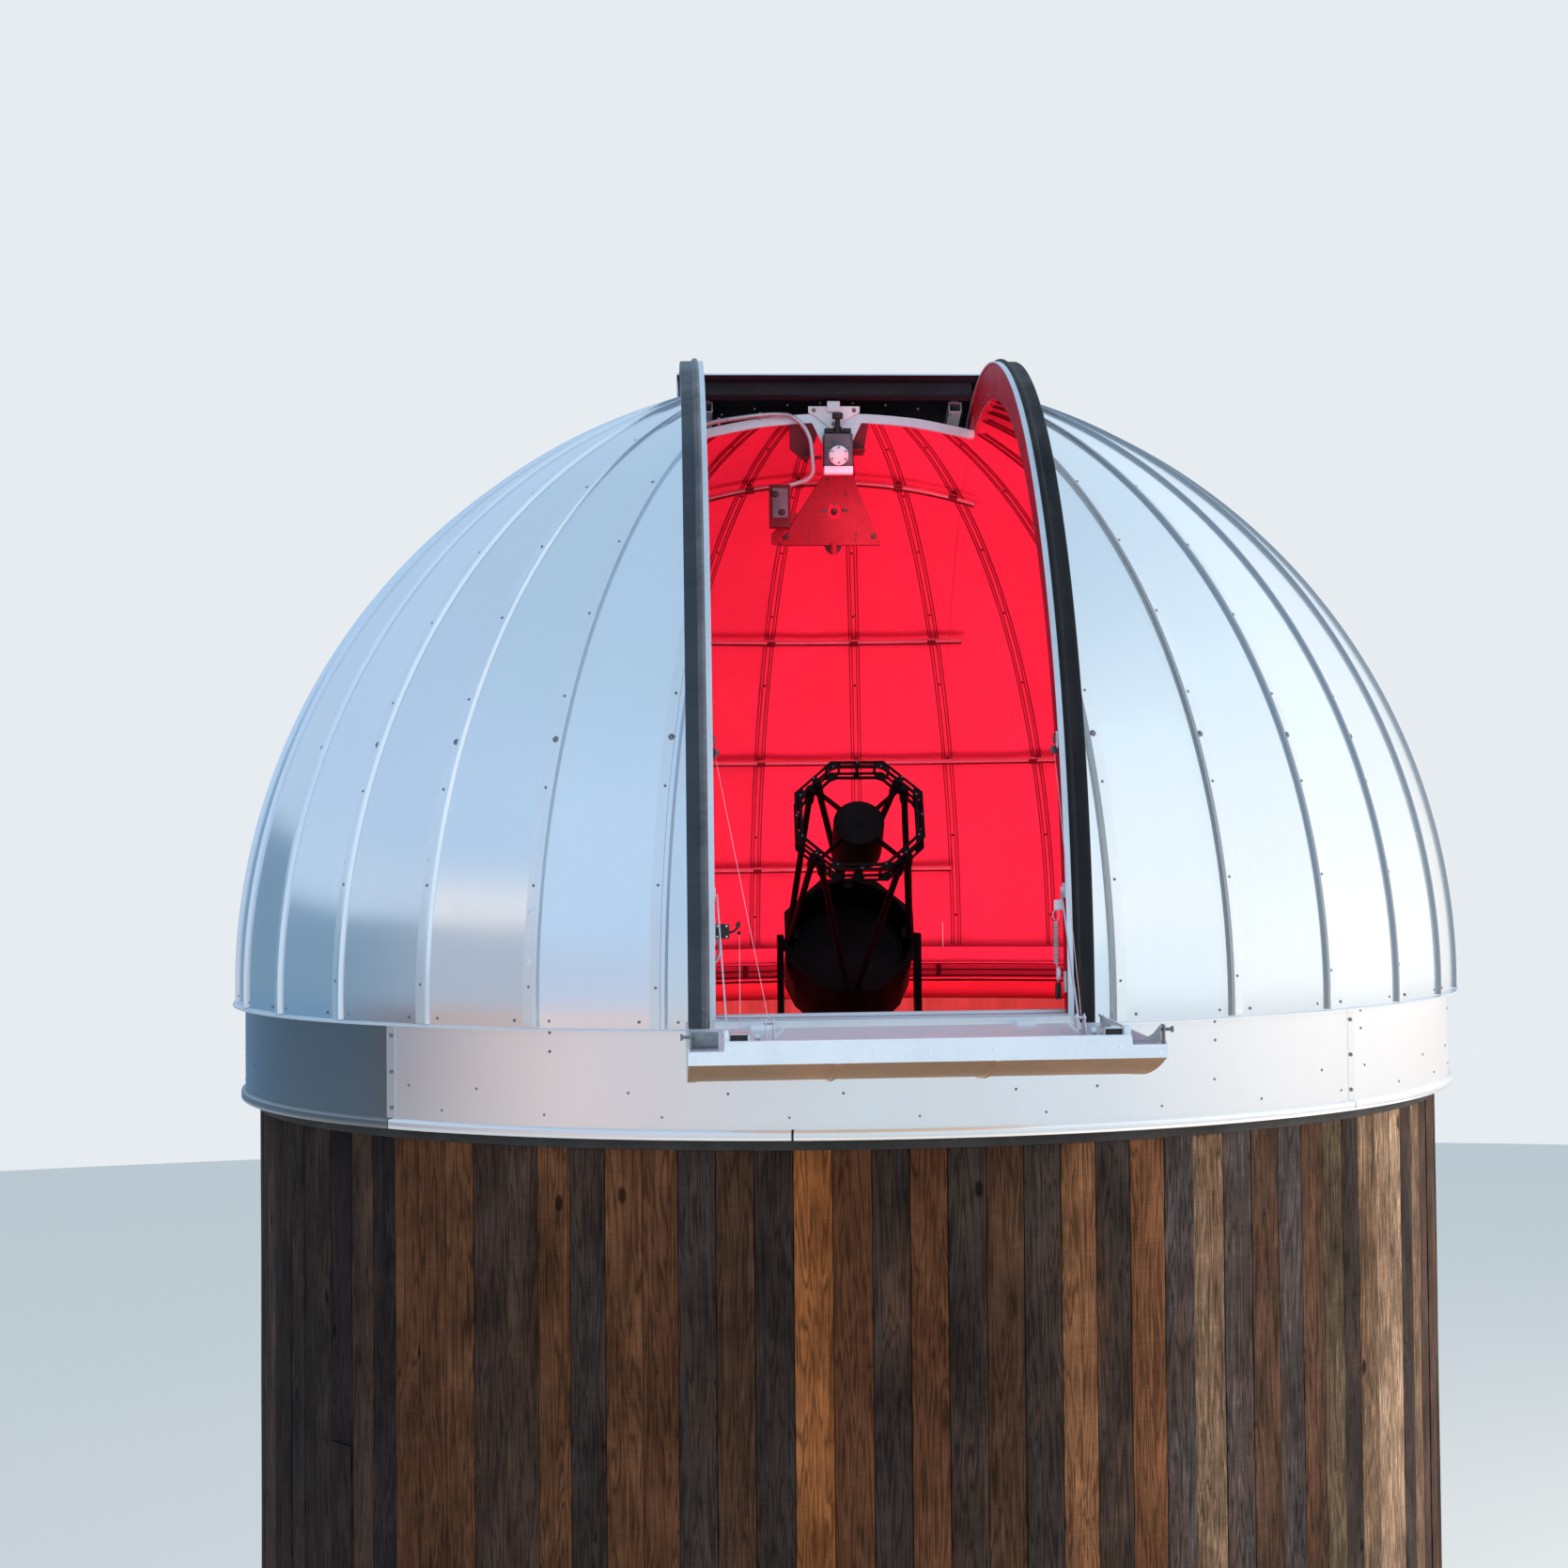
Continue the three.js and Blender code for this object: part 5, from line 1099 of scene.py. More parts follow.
# --- Control box: a small cabinet beside the motor plate with two knobs on its pale face, fed by a ribbed steel
# conduit that is clipped along the header and bends down to it. Both of the conduit's ends are held.
finish_node(painted("box_enamel", (0.075, 0.006, 0.011), (0.045, 0.004, 0.007), 12, 140, 0.5, bump=0.1, shine=0.25),
            "control_box")
knobs = [turned_part([(0, 0.001), (0, 0.009), (0.004, 0.012), (0.014, 0.013), (0.016, 0.001)], (x, 0.336, z),
                     (0, 1, 0), 16)
         for x, z in ((-0.247, 5.998), (-0.222, 5.928))]
add("control_knobs", *together(*knobs), dark_steel, "dome", "dark_steel")
add("control_face", *brick(-0.260, -0.200, 0.3465, 0.3500, 5.906, 6.022, 0.001), cast, "dome", "galvanised")
screws = np.array([(x, 0.3465, z) for x in (-0.254, -0.206) for z in (5.914, 6.014)])
add("control_screws", *heads(screws, forward, 0.004, 0.002, 8), screw_metal, "dome", "galvanised")
route = np.array([(-0.520, 0.466, 6.283), (-0.464, 0.460, 6.296), (-0.408, 0.455, 6.305), (-0.297, 0.452, 6.319),
                  (-0.222, 0.450, 6.321),
                  (-0.180, 0.446, 6.313), (-0.135, 0.436, 6.275), (-0.107, 0.424, 6.216), (-0.100, 0.410, 6.142),
                  (-0.101, 0.396, 6.087),
                  (-0.125, 0.388, 6.058), (-0.160, 0.384, 6.045), (-0.192, 0.384, 6.036)])


def through(points, count):
    """A smooth path through points: cubic pieces whose slope at each point is half the way between its neighbours."""
    points = np.asarray(points, float)
    slope = np.gradient(points, axis=0)
    place = np.linspace(0, len(points) - 1 - 1e-9, count)
    i, t = place.astype(int), (place % 1)[:, None]
    return (points[i] * (2 * t ** 3 - 3 * t ** 2 + 1) + slope[i] * (t ** 3 - 2 * t ** 2 + t)
            + points[i + 1] * (3 * t ** 2 - 2 * t ** 3) + slope[i + 1] * (t ** 3 - t ** 2))


path = through(route, 420)
ribbing = 0.0088 + 0.0010 * np.sin(np.arange(420) * np.pi / 2)
clips = [brick(x - 0.006, x + 0.006, 0.470, 0.4838, z - 0.014, z + 0.014, 0.001) for x,
         z in ((-0.462, 6.297), (-0.300, 6.319))]
add("motor_conduit", *together(tube_along(path, ribbing, 10), *clips), curb_sheet, "dome", "galvanised", sharp=60)

# --- Upper shutter: a curved cover that rolls over the top on guide shoes, of overlapping sheets with a folded
# standing rib at each lap and a row of screws down both sides. Its cheeks hang down beside the curbs.
cover_arcs = np.linspace(98.9, 174.0, 100)
cover = arched([(-0.6250, 2.3425), (-0.6240, 2.3420), (0.6240, 2.3420), (0.6250, 2.3425), (0.6250, 2.3470),
                (0.6235, 2.3480),
                (-0.6235, 2.3480), (-0.6250, 2.3470)], cover_arcs)
cheek_arcs = np.linspace(100.6, 174.0, 90)
cheek = [(0.6202, 2.262), (0.6250, 2.262), (0.6250, 2.3425), (0.6202, 2.3425)]
shoe = [(0.5770, 2.2905), (0.6210, 2.2905), (0.6210, 2.3335), (0.5990, 2.3335), (0.5770, 2.3160), (0.5770, 2.3000)]
shoes = [arched(shoe, np.linspace(arc - 0.75, arc + 0.75, 3), side) for arc in (103, 134, 168) for side in (1, -1)]
lap_ribs = [arched([(-0.618, 2.3475), (0.618, 2.3475), (0.618, 2.3492), (-0.618, 2.3492)],
                   np.linspace(arc - 0.6, arc + 0.6, 3)) for arc in (113.0, 127.3, 141.6, 155.9, 170.5)]
edge_folds = [arched([(0.6085, 2.3475), (0.6250, 2.3475), (0.6250, 2.3495), (0.6085, 2.3495)], cover_arcs, side)
              for side in (1, -1)]
charcoal = painted("charcoal_paint_and_painted_shade", (0.024, 0.022, 0.033), (0.012, 0.012, 0.018), 8, 60, 0.6, metallic=0.1, bump=0.2)
shutter_sheet = mill_sheet("shutter_sheet", (0.80, 0.85, 0.90), (0.62, 0.68, 0.74), 0.32, 0.85, 0.3)
roof = add("upper_shutter_sheets",
           *together(cover, arched(cheek, cheek_arcs), arched(cheek, cheek_arcs, -1), *lap_ribs, *edge_folds),
    [shutter_sheet, charcoal], "upper_shutter", "galvanised", "upper_shutter_cover", sharp=24)
# Faces turned in towards the dome take the charcoal finish: painted shade under the shutter.
second_finish(roof, lambda centres, normals: ((centres - (0, 0, CENTRE)) * normals * (0, 1, 1)).sum(1) < -1.5)
add("upper_shutter_shoes", *together(*shoes),
    painted("slide_block", (0.08, 0.08, 0.085), (0.04, 0.04, 0.045), 9, 90, 0.5, bump=0.1),
    "upper_shutter", "black_metal")
arc, x = (v.ravel() for v in np.meshgrid(np.radians(np.arange(101.5, 173.6, 3.6)), (-0.600, 0.600)))
outward = np.stack([0 * arc, -np.cos(arc), np.sin(arc)], -1)
add("upper_shutter_screws",
    *heads(outward * 2.3478 + np.stack([x, 0 * x, 0 * x + CENTRE], -1), outward, 0.0055, 0.003, 8),
    screw_metal, "upper_shutter", "galvanised")

# --- Upper beam: a charcoal steel channel under the shutter's front edge, with box-tube stringers behind it whose
# open ends show below, and a thin strip of the cover's folded edge on top.
web = arched([(-0.530, 2.2845), (0.530, 2.2845), (0.530, 2.3412), (-0.530, 2.3412)], [100.92, 101.0, 101.08])
lower_lip = arched([(-0.530, 2.2845), (0.530, 2.2845), (0.530, 2.2885), (-0.530, 2.2885)],
                   np.linspace(100.92, 102.38, 5))
upper_lip = arched([(-0.530, 2.3370), (0.530, 2.3370), (0.530, 2.3412), (-0.530, 2.3412)],
                   np.linspace(100.92, 102.38, 5))
add("upper_shutter_channel", *together(web, lower_lip, upper_lip), charcoal, "upper_shutter", "dark_steel",
    "upper_shutter_beam")
hollow = []
for x0, x1 in ((-0.522, -0.486), (0.444, 0.494)):
    for low, high in ((2.2400, 2.2425), (2.2775, 2.2800)):
        hollow.append(arched([(x0, low), (x1, low), (x1, high), (x0, high)], np.linspace(102.6, 112.0, 8)))
    for a, b in ((x0, x0 + 0.0025), (x1 - 0.0025, x1)):
        hollow.append(arched([(a, 2.2400), (b, 2.2400), (b, 2.2800), (a, 2.2800)], np.linspace(102.6, 112.0, 8)))
    hollow.append(arched([(x0 + 0.010, 2.2798), (x1 - 0.010, 2.2798), (x1 - 0.010, 2.3425), (x0 + 0.010, 2.3425)],
                         np.linspace(103.0, 103.8, 2)))
add("upper_stringers", *together(*hollow), curb_sheet, "upper_shutter", "galvanised")

# --- Sill and hinges: a folded sill across the slit's foot, two hinge blocks with pins in front of it.
walked_sheet = mill_sheet("walked_sheet", (0.74, 0.79, 0.84), (0.62, 0.67, 0.73), 0.50, 0.6, 0.15)
finish_node(walked_sheet, "slit_sill")
finish_node(white_trim, "flap_hinge_right", "flap_hinge_left")
strips = [brick(-0.539, 0.539, -2.2985, -2.2640, 4.1365, 4.1400, 0.001),
          brick(-0.539, 0.539, -2.3035, -2.3000, 4.1010, 4.1340, 0.001),
          brick(-0.539, 0.539, -2.1900, -2.1700, 4.1365, 4.1480, 0.002)]
add("sill_strips", *together(*strips), walked_sheet, "dome", "galvanised")

# --- Lower shutter: a shallow curved tray that closes the slit's foot, here swung out level on its hinges.
# Three lapped sheets make its skin; cheeks, two tube rails and a deep front strip of pale metal stiffen it, with
# closing pins at its two front corners. Its skin is bare metal above; its warm colour below is painted warm light.
HINGE_Y, HINGE_Z = -2.331645, 4.109301
shell = (HINGE_Y - 0.640, HINGE_Z + 2.2424)
skin_arcs = np.linspace(-90 + 15.93, -90 - 15.93, 60)[::-1]
flat = [(-0.6250, 2.3265), (-0.6240, 2.3260), (0.6240, 2.3260), (0.6250, 2.3265), (0.6250, 2.3312), (0.6240, 2.3320),
        (-0.6240, 2.3320),
        (-0.6250, 2.3312)]
laps = [arched([(a, 2.3316), (b, 2.3316), (b, 2.3372), (a, 2.3372)], skin_arcs, centre=shell) for a,
        b in ((-0.243, -0.231), (0.174, 0.186))]
hem = [arched([(x0, 2.3316), (x1, 2.3316), (x1, 2.3338), (x0, 2.3338)], skin_arcs, centre=shell) for x0,
       x1 in ((-0.625, -0.600), (0.600, 0.625))]
warm_sheet = mill_sheet("warm_sheet", (1.0, 0.70, 0.47), (0.78, 0.50, 0.33), 0.34, 0.7, 0.5)
sheet_points, sheet_faces = arched(flat, skin_arcs, centre=shell)
tray = add("lower_shutter_sheets", *together((sheet_points, sheet_faces), *laps, *hem), [warm_sheet, walked_sheet],
           "lower_shutter",
           "galvanised", "lower_shutter_cover", sharp=24)
# Faces not turned upwards take the warm sheet, whose orange is painted warm light from below.
second_finish(tray, lambda centres, normals: normals[:, 2] > 0.3)
reach = np.linspace(-1.2795, -0.030, 40)
keel = 2.2424 - np.sqrt(2.3262 ** 2 - (reach + 0.640) ** 2)
top = np.where(reach < -0.9, 0.030 + 0.010 * np.clip((-0.9 - reach) / 0.38, 0, 1) ** 2, 0.030)
sides = []
for x0, x1 in ((-0.6248, -0.6202), (0.6202, 0.6248)):
    row = np.stack([np.stack([0 * reach + x, HINGE_Y + reach, HINGE_Z + z], -1)
                    for x, z in ((x0, keel), (x1, keel), (x1, top), (x0, top))], 1)
    sides.append(lofted(row))
inner_fold = [brick(a, b, HINGE_Y - 1.270, HINGE_Y - 0.030, HINGE_Z + 0.0265, HINGE_Z + 0.0298, 0.001) for a,
              b in ((-0.6205, -0.6170), (0.6170, 0.6205))]
add("lower_shutter_cheeks", *together(*sides, *inner_fold), curb_sheet, "lower_shutter", "galvanised")

strip_x = np.array([-0.6248, -0.5325, -0.5300, 0.5300, 0.5325, 0.6248])
strip_top = np.array([0.032, 0.032, 0.0572, 0.0572, 0.032, 0.032])
front = HINGE_Y - 1.288
rows = np.stack([np.stack([strip_x, 0 * strip_x + front + d, HINGE_Z + h], -1) for d, h in
                 ((0.0, -0.0030 + 0 * strip_x), (0.0, strip_top), (0.0076, strip_top),
                  (0.0076, -0.0030 + 0 * strip_x))], 1)
face = lofted(rows)
fold = brick(-0.529, 0.529, front + 0.0075, front + 0.032, HINGE_Z + 0.0512, HINGE_Z + 0.0572, 0.001)
low_fold = brick(-0.6200, 0.6200, front + 0.0070, front + 0.024, HINGE_Z - 0.0030, HINGE_Z + 0.0010, 0.001)
strip_white = painted("strip_white", (0.80, 0.87, 0.93), (0.70, 0.78, 0.86), 7, 90, 0.38, metallic=0.25, bump=0.06)
add("lower_shutter_strip", *together(face, fold, low_fold), strip_white, "lower_shutter", "white_metal",
    "lower_shutter_beam")
x = np.array([-0.602, -0.5, -0.168, -0.142, 0.0, 0.17, 0.5, 0.602])
spots = np.stack([x, 0 * x + front, HINGE_Z + np.where(abs(x) > 0.53, 0.012, 0.026)], -1)
add("strip_rivets", *heads(spots, forward, 0.0045, 0.0022, 8), strip_white, "lower_shutter", "white_metal")

# --- Shutter rails and end fittings: two curved rails in the tray with box tube ends, their black openings standing
# over it, with pale blocks, gussets, closing pins with round heads and the clevises that the cables pull on.
finish_node(curb_sheet, "lower_shutter_rail_right", "lower_shutter_rail_left")
frames, voids, whites, pins, dark = [], [], [], [], []
low, high, ends = HINGE_Z + 0.0530, HINGE_Z + 0.0740, (front + 0.034, front + 0.135)
for x0, x1 in ((-0.518, -0.468), (0.463, 0.513)):
    frames += [brick(x0, x1, *ends, low, low + 0.0022, 0.0006), brick(x0, x1, *ends, high - 0.0022, high, 0.0006),
               brick(x0, x0 + 0.0022, *ends, low, high, 0.0006), brick(x1 - 0.0022, x1, *ends, low, high, 0.0006)]
    voids.append(brick(x0 + 0.0022, x1 - 0.0022, ends[0] + 0.004, ends[0] + 0.05, low + 0.0022, high - 0.0022,
                       0.0004))
    frames.append(brick(x0 + 0.01, x1 - 0.01, ends[0] + 0.06, ends[0] + 0.065, HINGE_Z - 0.010, low, 0.001))
whites += [brick(-0.5325, -0.520, front + 0.020, front + 0.075, HINGE_Z + 0.0500, HINGE_Z + 0.0840, 0.002),
           brick(0.5135, 0.5325, front + 0.026, front + 0.075, HINGE_Z + 0.0500, HINGE_Z + 0.0790, 0.002)]
channel = [brick(-0.6195, -0.546, front + 0.010, front + 0.060, HINGE_Z + 0.036, HINGE_Z + 0.040, 0.001),
           brick(-0.6200, -0.6168, front + 0.008, front + 0.060, HINGE_Z + 0.036, HINGE_Z + 0.086, 0.001),
           brick(-0.6155, -0.546, front + 0.056, front + 0.060, HINGE_Z + 0.040, HINGE_Z + 0.080, 0.001)]
horn = cut_plate([(0.534, 4.1500), (0.560, 4.1530), (0.588, 4.1690), (0.6080, 4.1925), (0.6080, 4.1480),
                  (0.534, 4.1480)],
                 front + 0.008, front + 0.013)
fin = cut_plate([(0.466, 4.213), (0.470, 4.213), (0.496, 4.176), (0.466, 4.176)], front + 0.100, front + 0.104)
horn_side = brick(0.6168, 0.6200, front + 0.008, front + 0.060, HINGE_Z + 0.030, HINGE_Z + 0.082, 0.001)
for x, way in ((-0.6155, -1), (0.6155, 1)):
    pins.append(turned_part([(0, 0.001), (0, 0.0045), (0.030, 0.0045), (0.031, 0.0085), (0.037, 0.0085),
                             (0.037, 0.001)],
                            (x - way * 0.008, front + 0.030, HINGE_Z + 0.0690), (way, 0, 0), 14))
add("rail_tubes", *together(*frames), curb_sheet, "lower_shutter", "galvanised")
# The black blocks inside the open tube ends are painted shade within the tubes.
add("rail_openings", *together(*voids), strip_black, "lower_shutter", "black_metal")
add("shutter_blocks", *together(*whites), white_trim, "lower_shutter", "white_metal")
grey_fitting = painted("grey_fitting", (0.30, 0.32, 0.35), (0.18, 0.19, 0.22), 10, 90, 0.42, metallic=0.6, bump=0.15)
add("shutter_corners", *together(*channel, horn, fin, horn_side), grey_fitting, "lower_shutter", "galvanised")
add("closing_pins", *together(*pins), screw_metal, "lower_shutter", "galvanised")

# --- Stays, closing cables and springs: two flat stays hold the open tray by its rails, two thin cables run from
# pulleys high on the curbs to clevises on the tray, and a spring, a limit switch and its pull cord hang beside
# the left and right curbs.
PULLEY_X, PULLEY_Y, FITTING_Y = 0.527, -2.071, -2.215
STAY_X, CABLE_X, SPRING_X = 0.508, 0.410, 0.509
anchors, wheels = [], []
for side in (-1, 1):
    x = side * PULLEY_X
    anchors += [brick(*sorted((side * 0.5395, side * 0.5330)), -2.0820, -2.0600, 4.952, 5.004, 0.001),
                brick(*sorted((side * 0.5395, side * 0.5300)), -2.2300, -2.2000, 4.490, 4.535, 0.0015)]
    wheels.append(turned_part([(0, 0.001), (0, 0.014), (0.003, 0.0145), (0.006, 0.010), (0.009, 0.0145),
                               (0.012, 0.014), (0.012, 0.001)],
                              (x - 0.006, PULLEY_Y, 4.946), (1, 0, 0), 18))
    wheels.append(peg((x - 0.015, PULLEY_Y, 4.946), (1, 0, 0), 0.004, 0.030, 10))
    for edge in (-0.0075, 0.0105 - 0.003):
        wheels.append(brick(x + edge - 0.001, x + edge + 0.001, -2.080, -2.062, 4.936, 4.965,
                            0.0004))
    turn = np.linspace(-0.2, 2 * np.pi - 0.2, 24)
    wheels.append(tube_along(np.stack([x + 0 * turn, PULLEY_Y + 0.0115 * np.sin(turn),
                                       4.982 + 0.0130 * np.cos(turn)], -1), 0.0026, 6))
    wheels.append(brick(*sorted((side * 0.5345, side * 0.5270)), -2.074, -2.068, 4.990, 4.998, 0.0005))
add("curb_anchors", *together(*anchors), white_trim, "dome", "white_metal")
add("cable_pulleys", *together(*wheels), screw_metal, "dome", "galvanised")


def joined(name, path, radius, finish, sides=8, flat=None):
    """A thin part from the dome to the tray: a tube along its path,
    or a flat bar of the given half width and half thickness."""
    if flat is None:
        points, faces = tube_along(path, radius, sides)
    else:
        corner = np.array([(-flat[0], -flat[1]), (flat[0], -flat[1]), (flat[0], flat[1]), (-flat[0], flat[1])])
        path = np.asarray(path, float)
        run = np.gradient(path, axis=0)
        run /= np.linalg.norm(run, axis=1, keepdims=True)
        across = np.cross(run, (1, 0, 0))
        across /= np.linalg.norm(across, axis=1, keepdims=True)
        thick = np.cross(run, across)
        points, faces = lofted(path[:, None] + across[:, None] * corner[None, :, :1] + thick[:, None]
                               * corner[None, :, 1:])
    mesh = bpy.data.meshes.new(name)
    mesh.from_pydata(points, [], faces)
    mesh.polygons.foreach_set("use_smooth", np.ones(len(mesh.polygons), bool))
    mesh.set_sharp_from_angle(angle=math.radians(40))
    mesh.materials.append(finish)
    made = bpy.data.objects.new(name, mesh)
    scene.collection.objects.link(made)
    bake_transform(made)
    return made


bright_wire = painted("bright_wire", (0.80, 0.80, 0.82), (0.62, 0.62, 0.66), 20, 300, 0.35, metallic=0.8, bump=0.1)
red_lit_wire = painted("red_lit_wire", (0.85, 0.52, 0.56), (0.70, 0.40, 0.44), 20, 300, 0.4, metallic=0.6, bump=0.05)
for side, name in ((-1, "left"), (1, "right")):
    start, end = np.array([side * 0.5265, -2.084, 4.940]), np.array([side * 0.4130, -3.500, 4.212])
    joined("closing_cable_" + name, start + (end - start) * np.linspace(0, 1, 30)[:, None], 0.0009, red_lit_wire,
           6)
    start, end = np.array([side * 0.5250, FITTING_Y, 4.510]), np.array([side * 0.5080, -2.748, 4.1250])
    joined("tray_stay_" + name, start + (end - start) * np.linspace(0, 1, 16)[:, None], 0.004, bright_wire,
           flat=(0.0055, 0.002))
start, end = np.array([-0.4585, FITTING_Y, 4.390]), np.array([-0.4870, -3.470, 4.188])
joined("switch_cord", start + (end - start) * np.linspace(0, 1, 24)[:, None], 0.0011, bright_wire, 6)

clevis = []
for side in (-1, 1):
    for edge in (-0.011, 0.008):
        shape = cut_plate([(-2.770, 4.1042), (-2.728, 4.1060), (-2.737, 4.133), (-2.748, 4.138), (-2.759, 4.133)],
                          side * STAY_X + edge, side * STAY_X + edge + 0.003, "x")
        clevis.append(shape)
    clevis.append(peg((side * STAY_X - 0.015, -2.748, 4.125), (1, 0, 0), 0.005, 0.030, 10))
    for edge in (-0.012, 0.009):
        shape = cut_plate([(-3.545, 4.124), (-3.455, 4.124), (-3.455, 4.160), (-3.490, 4.215), (-3.510, 4.218),
                           (-3.545, 4.170)],
                          side * CABLE_X + edge, side * CABLE_X + edge + 0.003, "x")
        clevis.append(shape)
    clevis.append(brick(side * CABLE_X - 0.030, side * CABLE_X + 0.030, -3.560, -3.440, 4.119, 4.1245, 0.001))
    clevis.append(peg((side * CABLE_X - 0.016, -3.500, 4.206), (1, 0, 0), 0.0045, 0.032, 10))
    clevis.append(turned_part([(0, 0.001), (0, 0.012), (0.004, 0.0125), (0.009, 0.0125), (0.013, 0.012),
                               (0.013, 0.001)],
                              (side * 0.436, -3.520, 4.170), (side, 0, 0), 20))
    clevis.append(cut_plate([(side * 0.400, 4.176), (side * 0.374, 4.196), (side * 0.372, 4.190),
                             (side * 0.398, 4.166)],
                            -3.536, -3.530))
add("tray_clevises", *together(*clevis), bright_wire, "lower_shutter", "galvanised")
turn = np.linspace(0, 2 * np.pi * 16, 16 * 14)
coil = np.stack([SPRING_X + 0.0100 * np.cos(turn), FITTING_Y + 0.0100 * np.sin(turn),
                 np.linspace(4.418, 4.288, len(turn))], -1)
loop = np.stack([SPRING_X + 0.010 * np.cos(np.linspace(-1.3, 4.5, 24)), FITTING_Y + 0 * np.linspace(0, 1, 24),
                 4.437 + 0.015 * np.sin(np.linspace(-1.3, 4.5, 24))], -1)
rod = np.array([(SPRING_X, FITTING_Y, 4.288), (0.512, FITTING_Y, 4.276), (0.516, FITTING_Y, 4.262)])
add("curb_spring", *together(tube_along(coil, 0.0020, 5), tube_along(loop, 0.0020, 6), tube_along(rod, 0.002, 6)),
    bright_wire, "dome",
    "galvanised")
plates = [brick(0.5240, 0.530, -2.221, -2.209, 4.470, 4.524, 0.002),
          brick(0.503, 0.5300, -2.221, -2.209, 4.452, 4.484, 0.002),
          brick(0.5295, 0.5395, -2.225, -2.205, 4.200, 4.265, 0.002),
          turned_part([(0, 0.001), (0, 0.020), (0.003, 0.022), (0.008, 0.022), (0.010, 0.020), (0.010, 0.001)],
                      (SPRING_X, FITTING_Y, 4.258), (1, 0, 0), 24)]
add("spring_anchor", *together(*plates), white_trim, "dome", "white_metal")
wheel = turned_part([(0, 0.001), (0, 0.026), (0.003, 0.028), (0.007, 0.022), (0.011, 0.028), (0.014, 0.026),
                     (0.014, 0.001)],
                    (0.506, FITTING_Y, 4.206), (1, 0, 0), 28)
switch = brick(-0.532, -0.490, -2.237, -2.201, 4.380, 4.424, 0.002)
lever = [tube_along([(-0.495, -2.217, 4.397), (-0.478, -2.217, 4.400), (-0.466, -2.217, 4.410),
                     (-0.459, -2.217, 4.432)], 0.0035, 8),
         peg((-0.463, -2.221, 4.420), (0, 1, 0), 0.008, 0.008, 12),
         peg((-0.460, -2.221, 4.396), (0, 1, 0), 0.006, 0.008, 12)]
add("limit_switch", *together(wheel, switch, *lever), strip_black, "dome", "black_metal")
plate = brick(-0.5395, -0.5320, -2.245, -2.199, 4.360, 4.442, 0.001)
spots = np.array([(-0.498, -2.237, 4.386), (-0.498, -2.237, 4.418), (-0.526, -2.237, 4.386), (-0.526, -2.237, 4.418)])
add("switch_plate", *together(plate, heads(spots, forward, 0.0032, 0.002, 8)), white_trim, "dome", "white_metal")
feed = through([(-0.523, FITTING_Y, 4.380), (-0.518, -2.213, 4.355), (-0.521, -2.205, 4.330), (-0.531, -2.191, 4.312),
                (-0.5385, -2.173, 4.300)], 90)
add("switch_conduit", *tube_along(feed, 0.0052 + 0.0008 * np.sin(np.arange(90) * np.pi / 2), 8), curb_sheet, "dome",
    "galvanised", sharp=60)

# --- Telescope pier and fork: a steel pier under the floor's opening, and on it a black fork with its turntable.
# They carry no detail that the photograph shows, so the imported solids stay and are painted.
instrument = painted("instrument_black", (0.008, 0.006, 0.007), (0.004, 0.003, 0.004), 12, 120, 0.55, bump=0.12,
                     shine=0.14)
finish_node(painted("pier_paint", (0.16, 0.16, 0.17), (0.10, 0.10, 0.11), 5, 80, 0.5, metallic=0.2, bump=0.15),
            "telescope_pier")
finish_node(instrument, "telescope_fork")

# --- Telescope: a black open truss tube, tipped up towards the slit. A box cell holds the mirror; eight poles in
# pairs run up to an eight-sided top ring of two plates with slots, whose four vanes hold the secondary's baffle.


def on_tube(points):
    """Points given as (x, up, along) in the tube's own frame, put where the tipped tube holds them."""
    tip = math.radians(33)
    x, up, along = np.moveaxis(np.asarray(points, float), -1, 0)
    return np.stack([x, up * math.sin(tip) - along * math.cos(tip),
                     4.268 + up * math.cos(tip) + along * math.sin(tip)], -1)


def tubewise(shape):
    return on_tube(shape[0]), shape[1]


def ring_plate(corners, outer, inner, low, high, turn=22.5, fine=None, flats=0.0):
    """A flat ring, many-sided outside: its outline is measured square to the nearest flat. Inside it is round, or
    follows the outside where flats is 1."""
    angle = np.linspace(0, 2 * np.pi, fine or corners * 6, endpoint=False)
    half = np.pi / corners
    shape = math.cos(half) / np.cos((angle - math.radians(turn)) % (2 * half) - half)
    edge, hole = outer * shape, inner * shape ** flats
    rows = [(edge, low), (edge, high), (hole, high), (hole, low)]
    points = np.array([np.stack([r * np.cos(angle), r * np.sin(angle), d + 0 * angle], -1) for r, d in rows])
    return lofted(points, ring=True)


